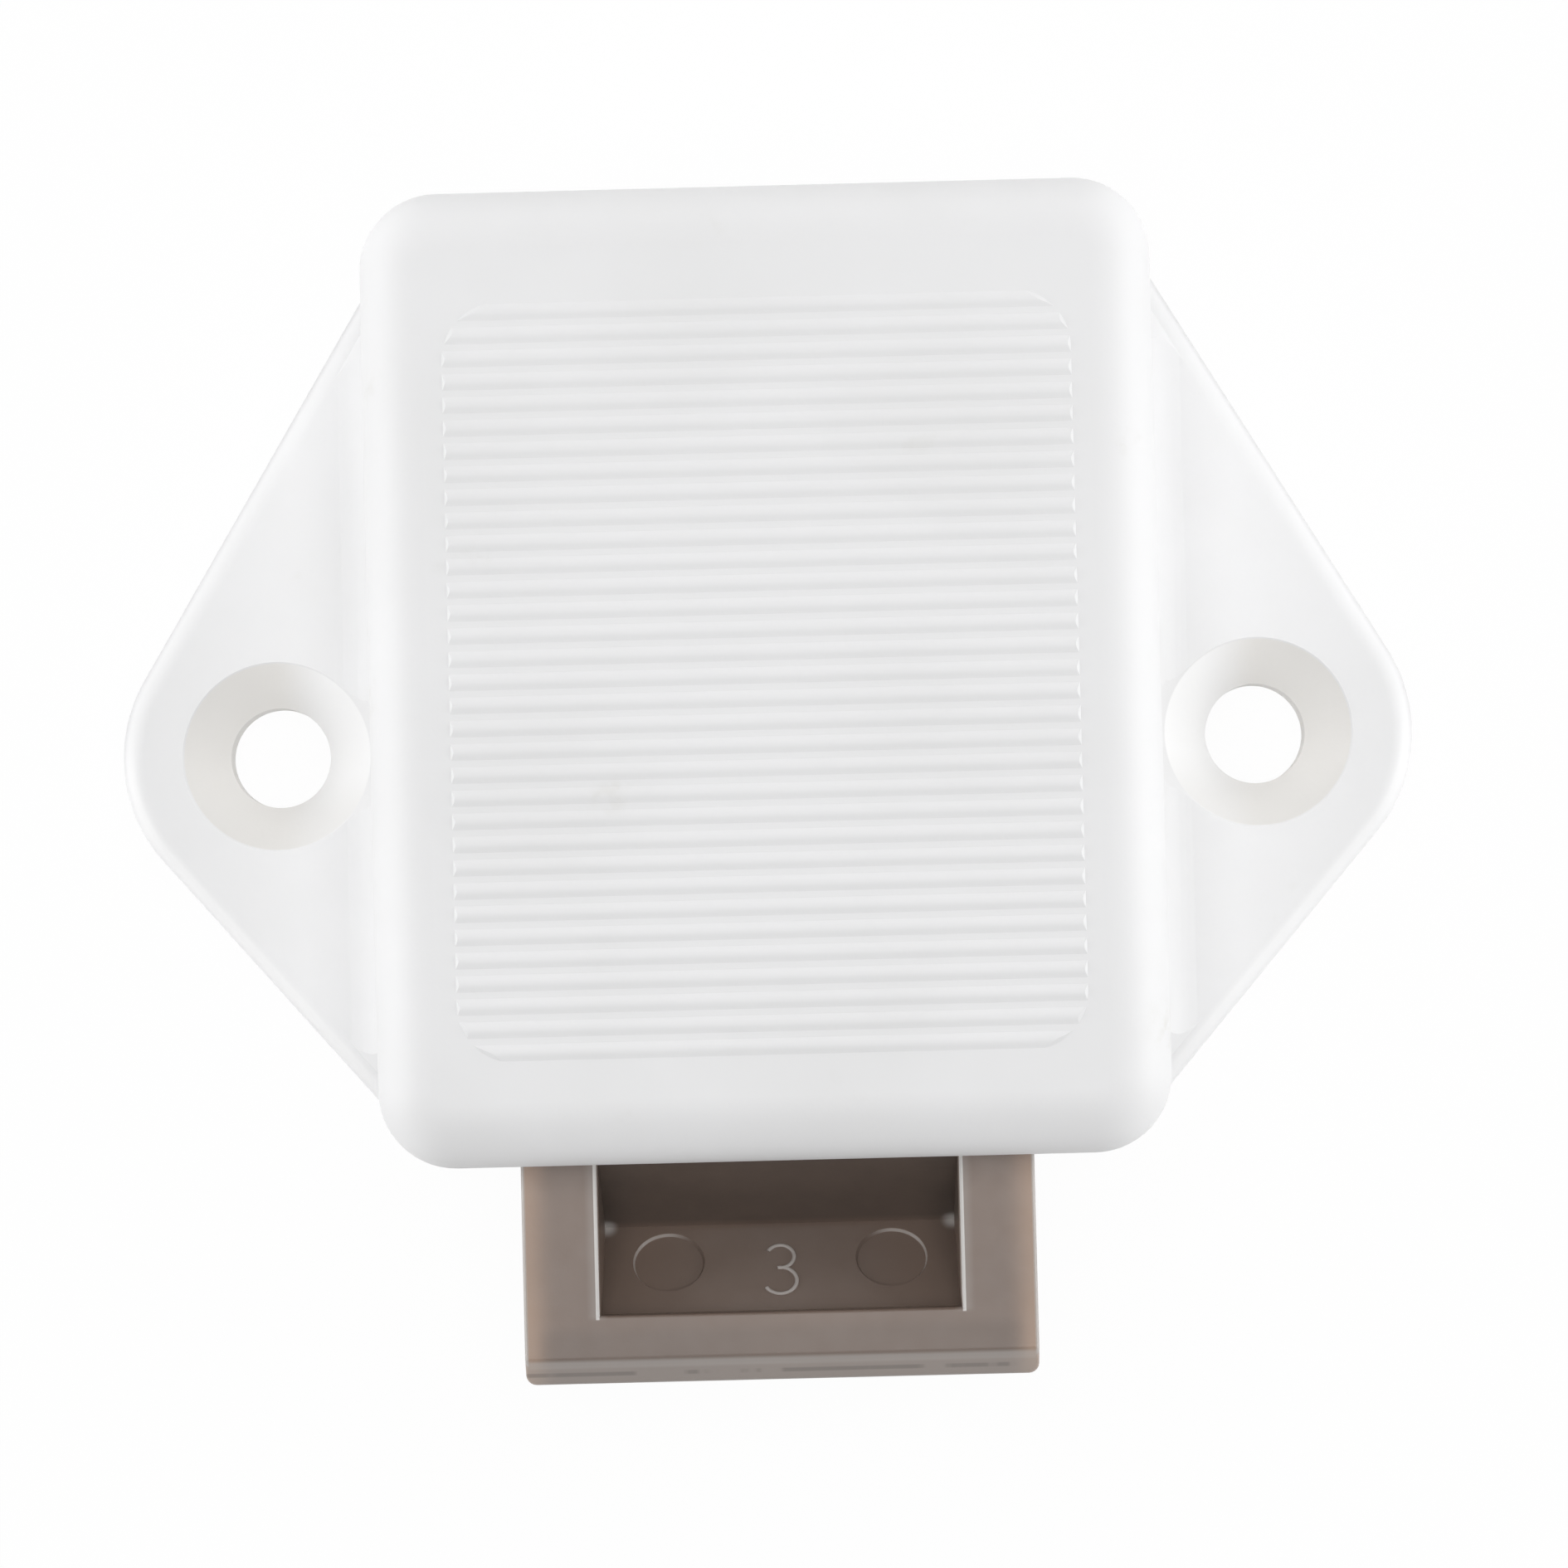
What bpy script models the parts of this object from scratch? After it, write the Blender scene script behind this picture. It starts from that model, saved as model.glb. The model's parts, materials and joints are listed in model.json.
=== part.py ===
"""Touch latch for a cupboard door: a sprung tongue is pushed in to lock and pushed again to let go.

A heart-shaped groove in the tongue and a steel wire that follows it hold the tongue in.
Metres, +Z up. The mounting face is z = 0, the origin is midway between the two screw
holes, and the tongue comes out towards -Y.
"""

import math

import bmesh
import bpy
from mathutils import Matrix, Vector

# Gaps between pieces.
RUNNING_GAP = 0.0003
SEAT_GAP = 0.0003

# Housing: the case. Its width and height follow from what it holds.
BODY_LENGTH = 0.0425
BODY_FRONT = -0.01845
BODY_CORNER = 0.0034
BODY_EDGE = 0.0028
WALL = 0.0018
ROOF = 0.0018
CAVITY_CORNER = 0.0016
FRONT_BOSS_WIDTH = 0.00365
FRONT_BOSS_RELIEF = 0.0002
HEADROOM = 0.0042

# Housing: the two screw ears.
HOLE_OFFSET = 0.00475
HOLE_DIAMETER = 0.0045
COUNTERSINK_DIAMETER = 0.0085
EAR_TIP_RADIUS = 0.007
EAR_THICKNESS = 0.004
EAR_EDGE = 0.001
EAR_FILLET = 0.0012
EAR_BACK_ANGLE = math.radians(30.6)
EAR_FRONT_ANGLE = math.radians(41.8)

# Housing: the ribbed panel on the cover.
RIB_PITCH = 0.001
RIB_SPACE = 0.0003
RIB_HEIGHT = 0.0003
PANEL_SIDE_MARGIN = 0.00365
PANEL_FRONT_MARGIN = 0.00455
PANEL_BACK_MARGIN = 0.0051
PANEL_CORNER = 0.0024

# Base plate, let into the back of the housing, and its screws.
PLATE_THICKNESS = 0.0018
PLATE_SKIRT = 0.0009
SCREW_DIAMETER = 0.0017
SCREW_LENGTH = 0.0065
SCREW_POINT = 0.0012
SCREW_HEAD_DIAMETER = 0.0034
SCREW_HEAD_THICKNESS = 0.0008
SCREW_HEAD_SUNK = 0.0001
SCREW_SLOT_LENGTH = 0.002
SCREW_SLOT_WIDTH = 0.0006
SCREW_SLOT_TIP = 0.0004
SCREW_SLOT_DEPTH = 0.0004
BOSS_WALL = 0.0009

# Tongue. Its reach follows from the strike pocket.
TONGUE_WIDTH = 0.0226
TONGUE_THICKNESS = 0.0069
TONGUE_TRAVEL = 0.0087
TAIL_SPACE = 0.00655
POCKET_SIDE_WALL = 0.0033
POCKET_DEPTH = 0.0043
POCKET_LIP = 0.0013
POCKET_SETBACK = 0.0003
POCKET_DRAFT = math.radians(3)
POCKET_STEEP_ANGLE = math.radians(58)
POCKET_RAMP_ANGLE = math.radians(39)
LIP_WIDTH = 0.00195
NOSE_CHAMFER = 0.0011
NOSE_LAND = 0.0009
STOP_LENGTH = 0.0035
STOP_SIDE_SPACE = 0.0011
STOP_HEIGHT = 0.0045
STOP_SETBACK = 0.0104
CORE_WALL = 0.0018

# Springs, in bores of the tongue.
SPRING_WIRE = 0.0004
SPRING_TURNS = 11
SPRING_COVER = 0.00085
SPRING_SIDE_WALL = 0.0008
SPRING_SEAT_INSET = 0.00765
SPIGOT_LENGTH = 0.004

# Heart groove, cam follower and its leaf spring.
FOLLOWER_WIRE = 0.0012
FOLLOWER_ARM = 0.013
FOLLOWER_SWING = math.radians(13.8)
FOLLOWER_PIVOT_INSET = 0.00675
FOLLOWER_BEND = 0.0005
FOLLOWER_LIFT = 0.0006
GROOVE_GAP = 0.00035
GROOVE_DEPTH = 0.0016
GROOVE_PEAK_RISE = 0.0012
OVER_TRAVEL = 0.0017
LATCH_SEAT_RISE = 0.0006
PIVOT_BOSS_WALL = 0.0011
LEAF_THICKNESS = 0.0003
LEAF_RIM = 0.0012
LEAF_ARM = 0.0072
LEAF_KEEPER_WIDTH = 0.0008
LEAF_KEEPER_DEPTH = 0.0009
RAIL_WIDTH = 0.0012
RAIL_INSET = 0.0009
RAIL_GAP = 0.0004
RAIL_LENGTH = 0.028

# Facets, how far a cutter reaches past the face it cuts, what counts as one place, and the angles that
# count as flat and as an edge.
ROUND_STEPS = 32
SMALL_ROUND_STEPS = 16
CORNER_STEPS = 6
EDGE_STEPS = 4
COIL_STEPS = 9
OVERSHOOT = 0.001
SAME_PLACE = 1e-7
FLAT_ANGLE = math.radians(1)
EDGE_ANGLE = math.radians(45)

# Places that follow from the sizes: heights.
TONGUE_LOW = PLATE_THICKNESS + RUNNING_GAP
TONGUE_TOP = TONGUE_LOW + TONGUE_THICKNESS
CEILING = TONGUE_TOP + HEADROOM
BODY_HEIGHT = CEILING + ROOF
SPRING_Z = TONGUE_LOW + TONGUE_THICKNESS / 2
WIRE_RADIUS = FOLLOWER_WIRE / 2
ARM_Z = TONGUE_TOP + FOLLOWER_LIFT + WIRE_RADIUS
ARM_CLEAR_Z = ARM_Z + WIRE_RADIUS + RUNNING_GAP
GROOVE_FLOOR = TONGUE_TOP - GROOVE_DEPTH
SCREW_HEAD_TOP = SCREW_HEAD_SUNK + SCREW_HEAD_THICKNESS

# Places across the latch.
TONGUE_SIDE = TONGUE_WIDTH / 2
GUIDE_SIDE = TONGUE_SIDE + RUNNING_GAP
FRONT_BOSS_SIDE = GUIDE_SIDE + FRONT_BOSS_RELIEF
CAVITY_SIDE = FRONT_BOSS_SIDE + FRONT_BOSS_WIDTH
BODY_SIDE = CAVITY_SIDE + WALL
HOLE_X = BODY_SIDE + HOLE_OFFSET
SPRING_BORE_RADIUS = TONGUE_THICKNESS / 2 - SPRING_COVER
SPRING_RADIUS = SPRING_BORE_RADIUS - RUNNING_GAP - SPRING_WIRE / 2
SPRING_X = TONGUE_SIDE - SPRING_SIDE_WALL - SPRING_BORE_RADIUS
PIVOT_HOLE_RADIUS = WIRE_RADIUS + SEAT_GAP
PIVOT_BOSS_RADIUS = PIVOT_HOLE_RADIUS + PIVOT_BOSS_WALL
LEAF_HOLE_RADIUS = PIVOT_BOSS_RADIUS + SEAT_GAP
LEAF_SIDE = LEAF_HOLE_RADIUS + LEAF_RIM
PILOT_RADIUS = SCREW_DIAMETER / 2 + SEAT_GAP
BOSS_RADIUS = PILOT_RADIUS + BOSS_WALL
COUNTERBORE_RADIUS = SCREW_HEAD_DIAMETER / 2 + SEAT_GAP

# Places along the slide.
BODY_BACK = BODY_FRONT + BODY_LENGTH
CAVITY_FRONT = BODY_FRONT + WALL
CAVITY_BACK = BODY_BACK - WALL
STOP_FRONT = CAVITY_FRONT + STOP_SETBACK
FRONT_BOSS_END = STOP_FRONT - RUNNING_GAP
TONGUE_END = CAVITY_BACK - TONGUE_TRAVEL - TAIL_SPACE
SPRING_SEAT = CAVITY_FRONT + SPRING_SEAT_INSET
PIVOT_Y = CAVITY_BACK - FOLLOWER_PIVOT_INSET
POCKET_BACK = BODY_FRONT - POCKET_SETBACK
POCKET_CREASE = POCKET_BACK - POCKET_DEPTH / math.tan(POCKET_STEEP_ANGLE)
POCKET_END = POCKET_CREASE - (POCKET_DEPTH - POCKET_LIP) / math.tan(POCKET_RAMP_ANGLE)
TONGUE_TIP = POCKET_END - LIP_WIDTH - NOSE_CHAMFER

# Screw places: the middle of each front boss, then the back corners.
FRONT_SCREW = ((FRONT_BOSS_SIDE + CAVITY_SIDE) / 2, (CAVITY_FRONT + FRONT_BOSS_END) / 2)
BACK_SCREW = (CAVITY_SIDE - BOSS_RADIUS, CAVITY_BACK - BOSS_RADIUS)
SCREW_PLACES = [(side * x, y) for x, y in (FRONT_SCREW, BACK_SCREW) for side in (-1, 1)]

# Local axes of an outline drawn in the YZ plane and pulled along X, and of one drawn in the XZ plane and
# pulled along Y.
ALONG_X = Matrix(((0, 0, 1, 0), (1, 0, 0, 0), (0, 1, 0, 0), (0, 0, 0, 1)))
ALONG_Y = Matrix(((1, 0, 0, 0), (0, 0, -1, 0), (0, 1, 0, 0), (0, 0, 0, 1)))


def start_collections():
    """Empty the scene and make one collection for the pieces and one for the cutters."""
    for old in list(bpy.data.objects):
        bpy.data.objects.remove(old, do_unlink=True)
    made = []
    for name in ("touch_latch", "touch_latch_cutters"):
        group = bpy.data.collections.new(name)
        bpy.context.scene.collection.children.link(group)
        made.append(group)
    return made


PARTS, CUTTERS = start_collections()


def make_material(name, colour, roughness, metallic=0.0):
    material = bpy.data.materials.new(name)
    material.use_nodes = True
    shader = material.node_tree.nodes["Principled BSDF"]
    shader.inputs["Base Color"].default_value = (*colour, 1)
    shader.inputs["Roughness"].default_value = roughness
    shader.inputs["Metallic"].default_value = metallic
    return material


def add_object(name, data):
    """A working object. It counts as a cutter until finish_part makes it a piece."""
    item = bpy.data.objects.new(name, data)
    CUTTERS.objects.link(item)
    item.hide_render = True
    item.display_type = "WIRE"
    return item


def object_from(name, bm):
    mesh = bpy.data.meshes.new(name)
    bm.to_mesh(mesh)
    bm.free()
    return add_object(name, mesh)


def tidy_object(name, bm):
    """Merge doubles, join flat neighbours into one face and turn the faces outwards."""
    bmesh.ops.remove_doubles(bm, verts=bm.verts, dist=SAME_PLACE)
    bmesh.ops.dissolve_limit(bm, angle_limit=FLAT_ANGLE, verts=bm.verts, edges=bm.edges)
    bmesh.ops.recalc_face_normals(bm, faces=bm.faces)
    return object_from(name, bm)


def finish_part(item, material, origin=(0, 0, 0)):
    """Show the object as a piece, with its own material and its origin on its joint's axis."""
    CUTTERS.objects.unlink(item)
    PARTS.objects.link(item)
    item.hide_render = False
    item.display_type = "TEXTURED"
    item.data.materials.clear()
    item.data.materials.append(material)
    item.data.transform(Matrix.Translation(-Vector(origin)))
    item.location = origin
    item.parent = FRAME


def arc(centre, radius, start, end, steps):
    turns = [start + (end - start) * i / steps for i in range(steps + 1)]
    return [(centre[0] + radius * math.cos(t), centre[1] + radius * math.sin(t)) for t in turns]


def rounded_rectangle(side, front, back, radius):
    quarter = math.pi / 2
    corners = ((side, back, 0), (-side, back, 1), (-side, front, 2), (side, front, 3))
    points = []
    for x, y, turn in corners:
        centre = (x - math.copysign(radius, x), y - radius if turn < 2 else y + radius)
        points += arc(centre, radius, turn * quarter, (turn + 1) * quarter, CORNER_STEPS)
    return points


def body_outline(inset):
    radius = max(BODY_CORNER - inset, CAVITY_CORNER)
    return rounded_rectangle(BODY_SIDE - inset, BODY_FRONT + inset, BODY_BACK - inset, radius)


def prism(name, outlines, low, high, axes=Matrix()):
    """Pull closed outlines, the later ones being holes, from low to high along the local Z axis."""
    curve = bpy.data.curves.new(name, "CURVE")
    curve.dimensions = "2D"
    curve.fill_mode = "BOTH"
    curve.extrude = (high - low) / 2
    for outline in outlines:
        spline = curve.splines.new("POLY")
        spline.points.add(len(outline) - 1)
        for point, (x, y) in zip(spline.points, outline):
            point.co = Vector((x, y, 0)).to_4d()
        spline.use_cyclic_u = True
    drawn = add_object(name, curve)
    seen = drawn.evaluated_get(bpy.context.evaluated_depsgraph_get())
    mesh = bpy.data.meshes.new_from_object(seen)
    bpy.data.objects.remove(drawn)
    mesh.transform(axes @ Matrix.Translation((0, 0, (low + high) / 2)))
    bm = bmesh.new()
    bm.from_mesh(mesh)
    bpy.data.meshes.remove(mesh)
    return tidy_object(name, bm)


def block(name, low, high):
    bm = bmesh.new()
    bmesh.ops.create_cube(bm, size=1)
    size = Vector(high) - Vector(low)
    middle = (Vector(high) + Vector(low)) / 2
    bmesh.ops.scale(bm, vec=size, verts=bm.verts)
    bmesh.ops.translate(bm, vec=middle, verts=bm.verts)
    return object_from(name, bm)


def rod(name, start, end, radius, steps=ROUND_STEPS):
    """A round bar between two points."""
    start, end = Vector(start), Vector(end)
    run = end - start
    turn = run.to_track_quat("Z", "Y").to_matrix().to_4x4()
    bm = bmesh.new()
    bmesh.ops.create_cone(
        bm,
        cap_ends=True,
        segments=steps,
        radius1=radius,
        radius2=radius,
        depth=run.length,
        matrix=Matrix.Translation((start + end) / 2) @ turn,
    )
    return object_from(name, bm)


def turned(name, place, profile, steps=ROUND_STEPS):
    """Turn radius and height pairs, which start and end on the axis, about an upright axis at this place."""
    bm = bmesh.new()
    verts = [bm.verts.new((radius, 0, height)) for radius, height in profile]
    edges = [bm.edges.new(pair) for pair in zip(verts, verts[1:])]
    bmesh.ops.spin(
        bm, geom=verts + edges, cent=(0, 0, 0), axis=(0, 0, 1), angle=2 * math.pi, steps=steps, use_merge=True
    )
    bmesh.ops.translate(bm, vec=(*place, 0), verts=bm.verts)
    return tidy_object(name, bm)


def combine(target, tool, operation):
    step = target.modifiers.new(tool.name, "BOOLEAN")
    step.operation = operation
    step.object = tool


def cut(target, *tools):
    for tool in tools:
        combine(target, tool, "DIFFERENCE")


def join(target, *tools):
    for tool in tools:
        combine(target, tool, "UNION")


def round_upper_edge(item, height, radius, steps):
    """Bevel the outline edge of the flat face at this height."""
    bm = bmesh.new()
    bm.from_mesh(item.data)
    rim = [
        edge
        for edge in bm.edges
        if all(abs(vert.co.z - height) < SAME_PLACE for vert in edge.verts)
        and edge.calc_face_angle() > EDGE_ANGLE
    ]
    bmesh.ops.bevel(
        bm, geom=rim, offset=radius, segments=steps, profile=0.5, affect="EDGES", clamp_overlap=False
    )
    bm.to_mesh(item.data)
    bm.free()


def ear_outline(inner_x):
    """Both ears as one plate: a round tip about each hole, with straight edges that run in to inner_x."""
    tip = arc((HOLE_X, 0), EAR_TIP_RADIUS, -EAR_FRONT_ANGLE, EAR_BACK_ANGLE, 2 * CORNER_STEPS)
    back = tip[-1][1] + (tip[-1][0] - BODY_SIDE) / math.tan(EAR_BACK_ANGLE)
    front = tip[0][1] - (tip[0][0] - BODY_SIDE) / math.tan(EAR_FRONT_ANGLE)
    half = [(inner_x, front), (BODY_SIDE, front), *tip, (BODY_SIDE, back), (inner_x, back)]
    return half + [(-x, y) for x, y in reversed(half)]


def ear_fillet(side):
    """Concave fillet where the ear runs into the side of the case."""
    foot = (BODY_SIDE - OVERSHOOT, EAR_THICKNESS - OVERSHOOT)
    centre = (BODY_SIDE + EAR_FILLET, EAR_THICKNESS + EAR_FILLET)
    hollow = arc(centre, EAR_FILLET, 1.5 * math.pi, math.pi, EDGE_STEPS)
    profile = [foot, (centre[0], foot[1]), *hollow, (foot[0], centre[1])]
    bead = prism("ear_fillet", [[(side * x, z) for x, z in profile]], -BODY_BACK, -BODY_FRONT, ALONG_Y)
    reach = prism("ear_fillet_reach", [ear_outline(BODY_SIDE - 2 * OVERSHOOT)], 0, BODY_HEIGHT)
    combine(bead, reach, "INTERSECT")
    return bead


def ribs():
    """Round-topped cross ribs, trimmed by the rounded outline of the panel."""
    side = BODY_SIDE - PANEL_SIDE_MARGIN
    front = BODY_FRONT + PANEL_FRONT_MARGIN
    back = BODY_BACK - PANEL_BACK_MARGIN
    half = (RIB_PITCH - RIB_SPACE) / 2
    count = int((back - front - 2 * half) / RIB_PITCH) + 1
    first = (front + back - (count - 1) * RIB_PITCH) / 2
    root = BODY_HEIGHT - ROOF / 2
    crown = [(half * x, BODY_HEIGHT + RIB_HEIGHT * z) for x, z in arc((0, 0), 1, 0, math.pi, EDGE_STEPS)]
    rib = prism("rib", [[(half, root), *crown, (-half, root)]], -side - OVERSHOOT, side + OVERSHOOT, ALONG_X)
    bm = bmesh.new()
    for i in range(count):
        before = len(bm.verts)
        bm.from_mesh(rib.data)
        bm.verts.ensure_lookup_table()
        bmesh.ops.translate(bm, vec=(0, first + i * RIB_PITCH, 0), verts=bm.verts[before:])
    bpy.data.objects.remove(rib)
    panel = object_from("rib_panel", bm)
    outline = rounded_rectangle(side, front, back, PANEL_CORNER)
    combine(panel, prism("rib_panel_outline", [outline], 0, 2 * BODY_HEIGHT), "INTERSECT")
    return panel


def between(name, first, second):
    """A block between two opposite corners, given in any order."""
    low = [min(a, b) for a, b in zip(first, second)]
    high = [max(a, b) for a, b in zip(first, second)]
    return block(name, low, high)


def cavity():
    """The hollow of the housing, less the bosses, rails and spigots that stand in it."""
    hollow = prism("cavity", [body_outline(WALL)], -OVERSHOOT, CEILING)
    below = -2 * OVERSHOOT
    wall_side = CAVITY_SIDE + WALL / 2
    for side in (-1, 1):
        front_low = (side * FRONT_BOSS_SIDE, BODY_FRONT, below)
        front_boss = between("front_boss", front_low, (side * wall_side, FRONT_BOSS_END, BODY_HEIGHT))
        back_low = (side * (BACK_SCREW[0] - BOSS_RADIUS), BACK_SCREW[1] - BOSS_RADIUS, below)
        back_boss = between("back_boss", back_low, (side * wall_side, BODY_BACK, BODY_HEIGHT))
        spigot = rod(
            "spring_spigot",
            (side * SPRING_X, CAVITY_BACK - SPIGOT_LENGTH, SPRING_Z),
            (side * SPRING_X, BODY_BACK, SPRING_Z),
            SPRING_RADIUS - SPRING_WIRE / 2 - RUNNING_GAP,
            SMALL_ROUND_STEPS,
        )
        rail_x = side * (TONGUE_SIDE - RAIL_INSET)
        rail = block(
            "hold_down_rail",
            (rail_x - RAIL_WIDTH / 2, BODY_FRONT, TONGUE_TOP + RAIL_GAP),
            (rail_x + RAIL_WIDTH / 2, CAVITY_FRONT + RAIL_LENGTH, BODY_HEIGHT),
        )
        keeper_low = (side * (LEAF_SIDE + SEAT_GAP), PIVOT_Y - LEAF_SIDE, CEILING - LEAF_KEEPER_DEPTH)
        keeper_x = side * (LEAF_SIDE + SEAT_GAP + LEAF_KEEPER_WIDTH)
        keeper = between("leaf_keeper", keeper_low, (keeper_x, PIVOT_Y + LEAF_SIDE, BODY_HEIGHT))
        cut(hollow, front_boss, back_boss, spigot, rail, keeper)
    cut(hollow, rod("pivot_boss", (0, PIVOT_Y, ARM_CLEAR_Z), (0, PIVOT_Y, BODY_HEIGHT), PIVOT_BOSS_RADIUS))
    return hollow


def make_housing():
    housing = prism("housing", [body_outline(0)], 0, BODY_HEIGHT)
    round_upper_edge(housing, BODY_HEIGHT, BODY_EDGE, EDGE_STEPS)
    ears = prism("ears", [ear_outline(BODY_SIDE - WALL)], 0, EAR_THICKNESS)
    round_upper_edge(ears, EAR_THICKNESS, EAR_EDGE, EDGE_STEPS)
    join(housing, ears, ear_fillet(-1), ear_fillet(1), ribs())
    hole, sink = HOLE_DIAMETER / 2, COUNTERSINK_DIAMETER / 2
    top = EAR_THICKNESS + OVERSHOOT
    cone_low = EAR_THICKNESS - (sink - hole)
    profile = [(0, -OVERSHOOT), (hole, -OVERSHOOT), (hole, cone_low), (sink + OVERSHOOT, top), (0, top)]
    for side in (-1, 1):
        cut(housing, turned("screw_hole", (side * HOLE_X, 0), profile))
    recess = prism("plate_recess", [body_outline(PLATE_SKIRT)], -OVERSHOOT, PLATE_THICKNESS + SEAT_GAP)
    mouth = block(
        "mouth",
        (-GUIDE_SIDE, BODY_FRONT - OVERSHOOT, PLATE_THICKNESS),
        (GUIDE_SIDE, CAVITY_FRONT + OVERSHOOT, TONGUE_TOP + RUNNING_GAP),
    )
    cut(housing, cavity())
    depth = SCREW_HEAD_TOP + SCREW_LENGTH + SEAT_GAP
    for x, y in SCREW_PLACES:
        start = (x, y, -OVERSHOOT)
        cut(housing, rod("pilot_hole", start, (x, y, depth), PILOT_RADIUS, SMALL_ROUND_STEPS))
    cut(housing, recess, mouth)
    hole_low = (0, PIVOT_Y, ARM_CLEAR_Z - OVERSHOOT)
    hole_top = (0, PIVOT_Y, CEILING + SEAT_GAP)
    cut(housing, rod("pivot_hole", hole_low, hole_top, PIVOT_HOLE_RADIUS))
    finish_part(housing, make_material("white plastic", (0.80, 0.80, 0.80), 0.35))


def make_base_plate():
    plate = prism("base_plate", [body_outline(PLATE_SKIRT + SEAT_GAP)], 0, PLATE_THICKNESS)
    through = PLATE_THICKNESS + OVERSHOOT
    seat = SCREW_HEAD_TOP + SEAT_GAP
    profile = [
        (0, -OVERSHOOT),
        (COUNTERBORE_RADIUS, -OVERSHOOT),
        (COUNTERBORE_RADIUS, seat),
        (PILOT_RADIUS, seat),
        (PILOT_RADIUS, through),
        (0, through),
    ]
    for place in SCREW_PLACES:
        cut(plate, turned("plate_hole", place, profile))
    finish_part(plate, make_material("white plastic plate", (0.78, 0.78, 0.78), 0.4))


def make_screws():
    """Self-tapping screws, head down, with a cross slot."""
    steel = make_material("screw steel", (0.55, 0.55, 0.56), 0.3, 1.0)
    end = SCREW_HEAD_TOP + SCREW_LENGTH
    head, shank = SCREW_HEAD_DIAMETER / 2, SCREW_DIAMETER / 2
    profile = [
        (0, SCREW_HEAD_SUNK),
        (head, SCREW_HEAD_SUNK),
        (head, SCREW_HEAD_TOP),
        (shank, SCREW_HEAD_TOP),
        (shank, end - SCREW_POINT),
        (0, end),
    ]
    long, wide, tip = SCREW_SLOT_LENGTH / 2, SCREW_SLOT_WIDTH / 2, SCREW_SLOT_TIP / 2
    wing = [Vector((long, -tip)), Vector((long, tip)), Vector((wide, wide))]
    cross = [Matrix.Rotation(turn * math.pi / 2, 2) @ point for turn in range(4) for point in wing]
    slot_top = SCREW_HEAD_SUNK + SCREW_SLOT_DEPTH
    for number, place in enumerate(SCREW_PLACES, 1):
        screw = turned(f"base_screw_{number}", place, profile, SMALL_ROUND_STEPS)
        cut(screw, prism("cross_slot", [[Vector(place) + point for point in cross]], -OVERSHOOT, slot_top))
        finish_part(screw, steel, (*place, 0))


def strike_pocket():
    """The V of the strike pocket: steep wall, crease, ramp and lip, with draft on the two sides."""
    top = TONGUE_TOP + OVERSHOOT
    profile = [
        (POCKET_BACK + OVERSHOOT / math.tan(POCKET_STEEP_ANGLE), top),
        (POCKET_CREASE, TONGUE_TOP - POCKET_DEPTH),
        (POCKET_END, TONGUE_TOP - POCKET_LIP),
        (POCKET_END, top),
    ]
    side = TONGUE_SIDE - POCKET_SIDE_WALL
    pocket = prism("strike_pocket", [profile], -side, side, ALONG_X)
    for vert in pocket.data.vertices:
        vert.co.x -= math.copysign((TONGUE_TOP - vert.co.z) * math.tan(POCKET_DRAFT), vert.co.x)
    return pocket


def tongue_profile():
    """Side outline of the tongue in the YZ plane, with its chamfered nose and its sloping underside."""
    land_low = TONGUE_TOP - NOSE_CHAMFER - NOSE_LAND
    slope_start = TONGUE_TIP + (land_low - TONGUE_LOW) / math.tan(POCKET_RAMP_ANGLE)
    return [
        (TONGUE_END, TONGUE_LOW),
        (TONGUE_END, TONGUE_TOP),
        (TONGUE_TIP + NOSE_CHAMFER, TONGUE_TOP),
        (TONGUE_TIP, TONGUE_TOP - NOSE_CHAMFER),
        (TONGUE_TIP, land_low),
        (slope_start, TONGUE_LOW),
    ]


def tip_place(travel):
    """Where the follower's tip is on the tongue when the tongue has been pushed in this far."""
    swing = FOLLOWER_SWING * travel / TONGUE_TRAVEL
    return Vector((FOLLOWER_ARM * math.sin(swing), PIVOT_Y - FOLLOWER_ARM * math.cos(swing) - travel))


def groove_outlines():
    """Outer wall of the heart groove and the island inside it, both mirrored about the slide's axis.

    The tip's path bends by about one degree over the push, so each leg of the groove is straight.
    """
    half = WIRE_RADIUS + GROOVE_GAP
    start, end = tip_place(0), tip_place(TONGUE_TRAVEL)
    heading = (end - start).normalized()
    outward = Vector((-heading.y, heading.x))
    turn = math.atan2(outward.y, outward.x)
    right = arc(start, half, math.pi / 2, turn, CORNER_STEPS) + arc(end, half, turn, -math.pi / 2, CORNER_STEPS)
    peak = (0, end.y - half + GROOVE_PEAK_RISE)
    left = [(-x, y) for x, y in reversed(right[1:])]
    flank = start - half * outward
    apex = (0, flank.y - flank.x * heading.y / heading.x)
    heel = end - OVER_TRAVEL * heading - half * outward
    seat = (0, heel.y + LATCH_SEAT_RISE)
    return [right + [peak] + left, [apex, tuple(heel), seat, (-heel.x, heel.y)]]


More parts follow.
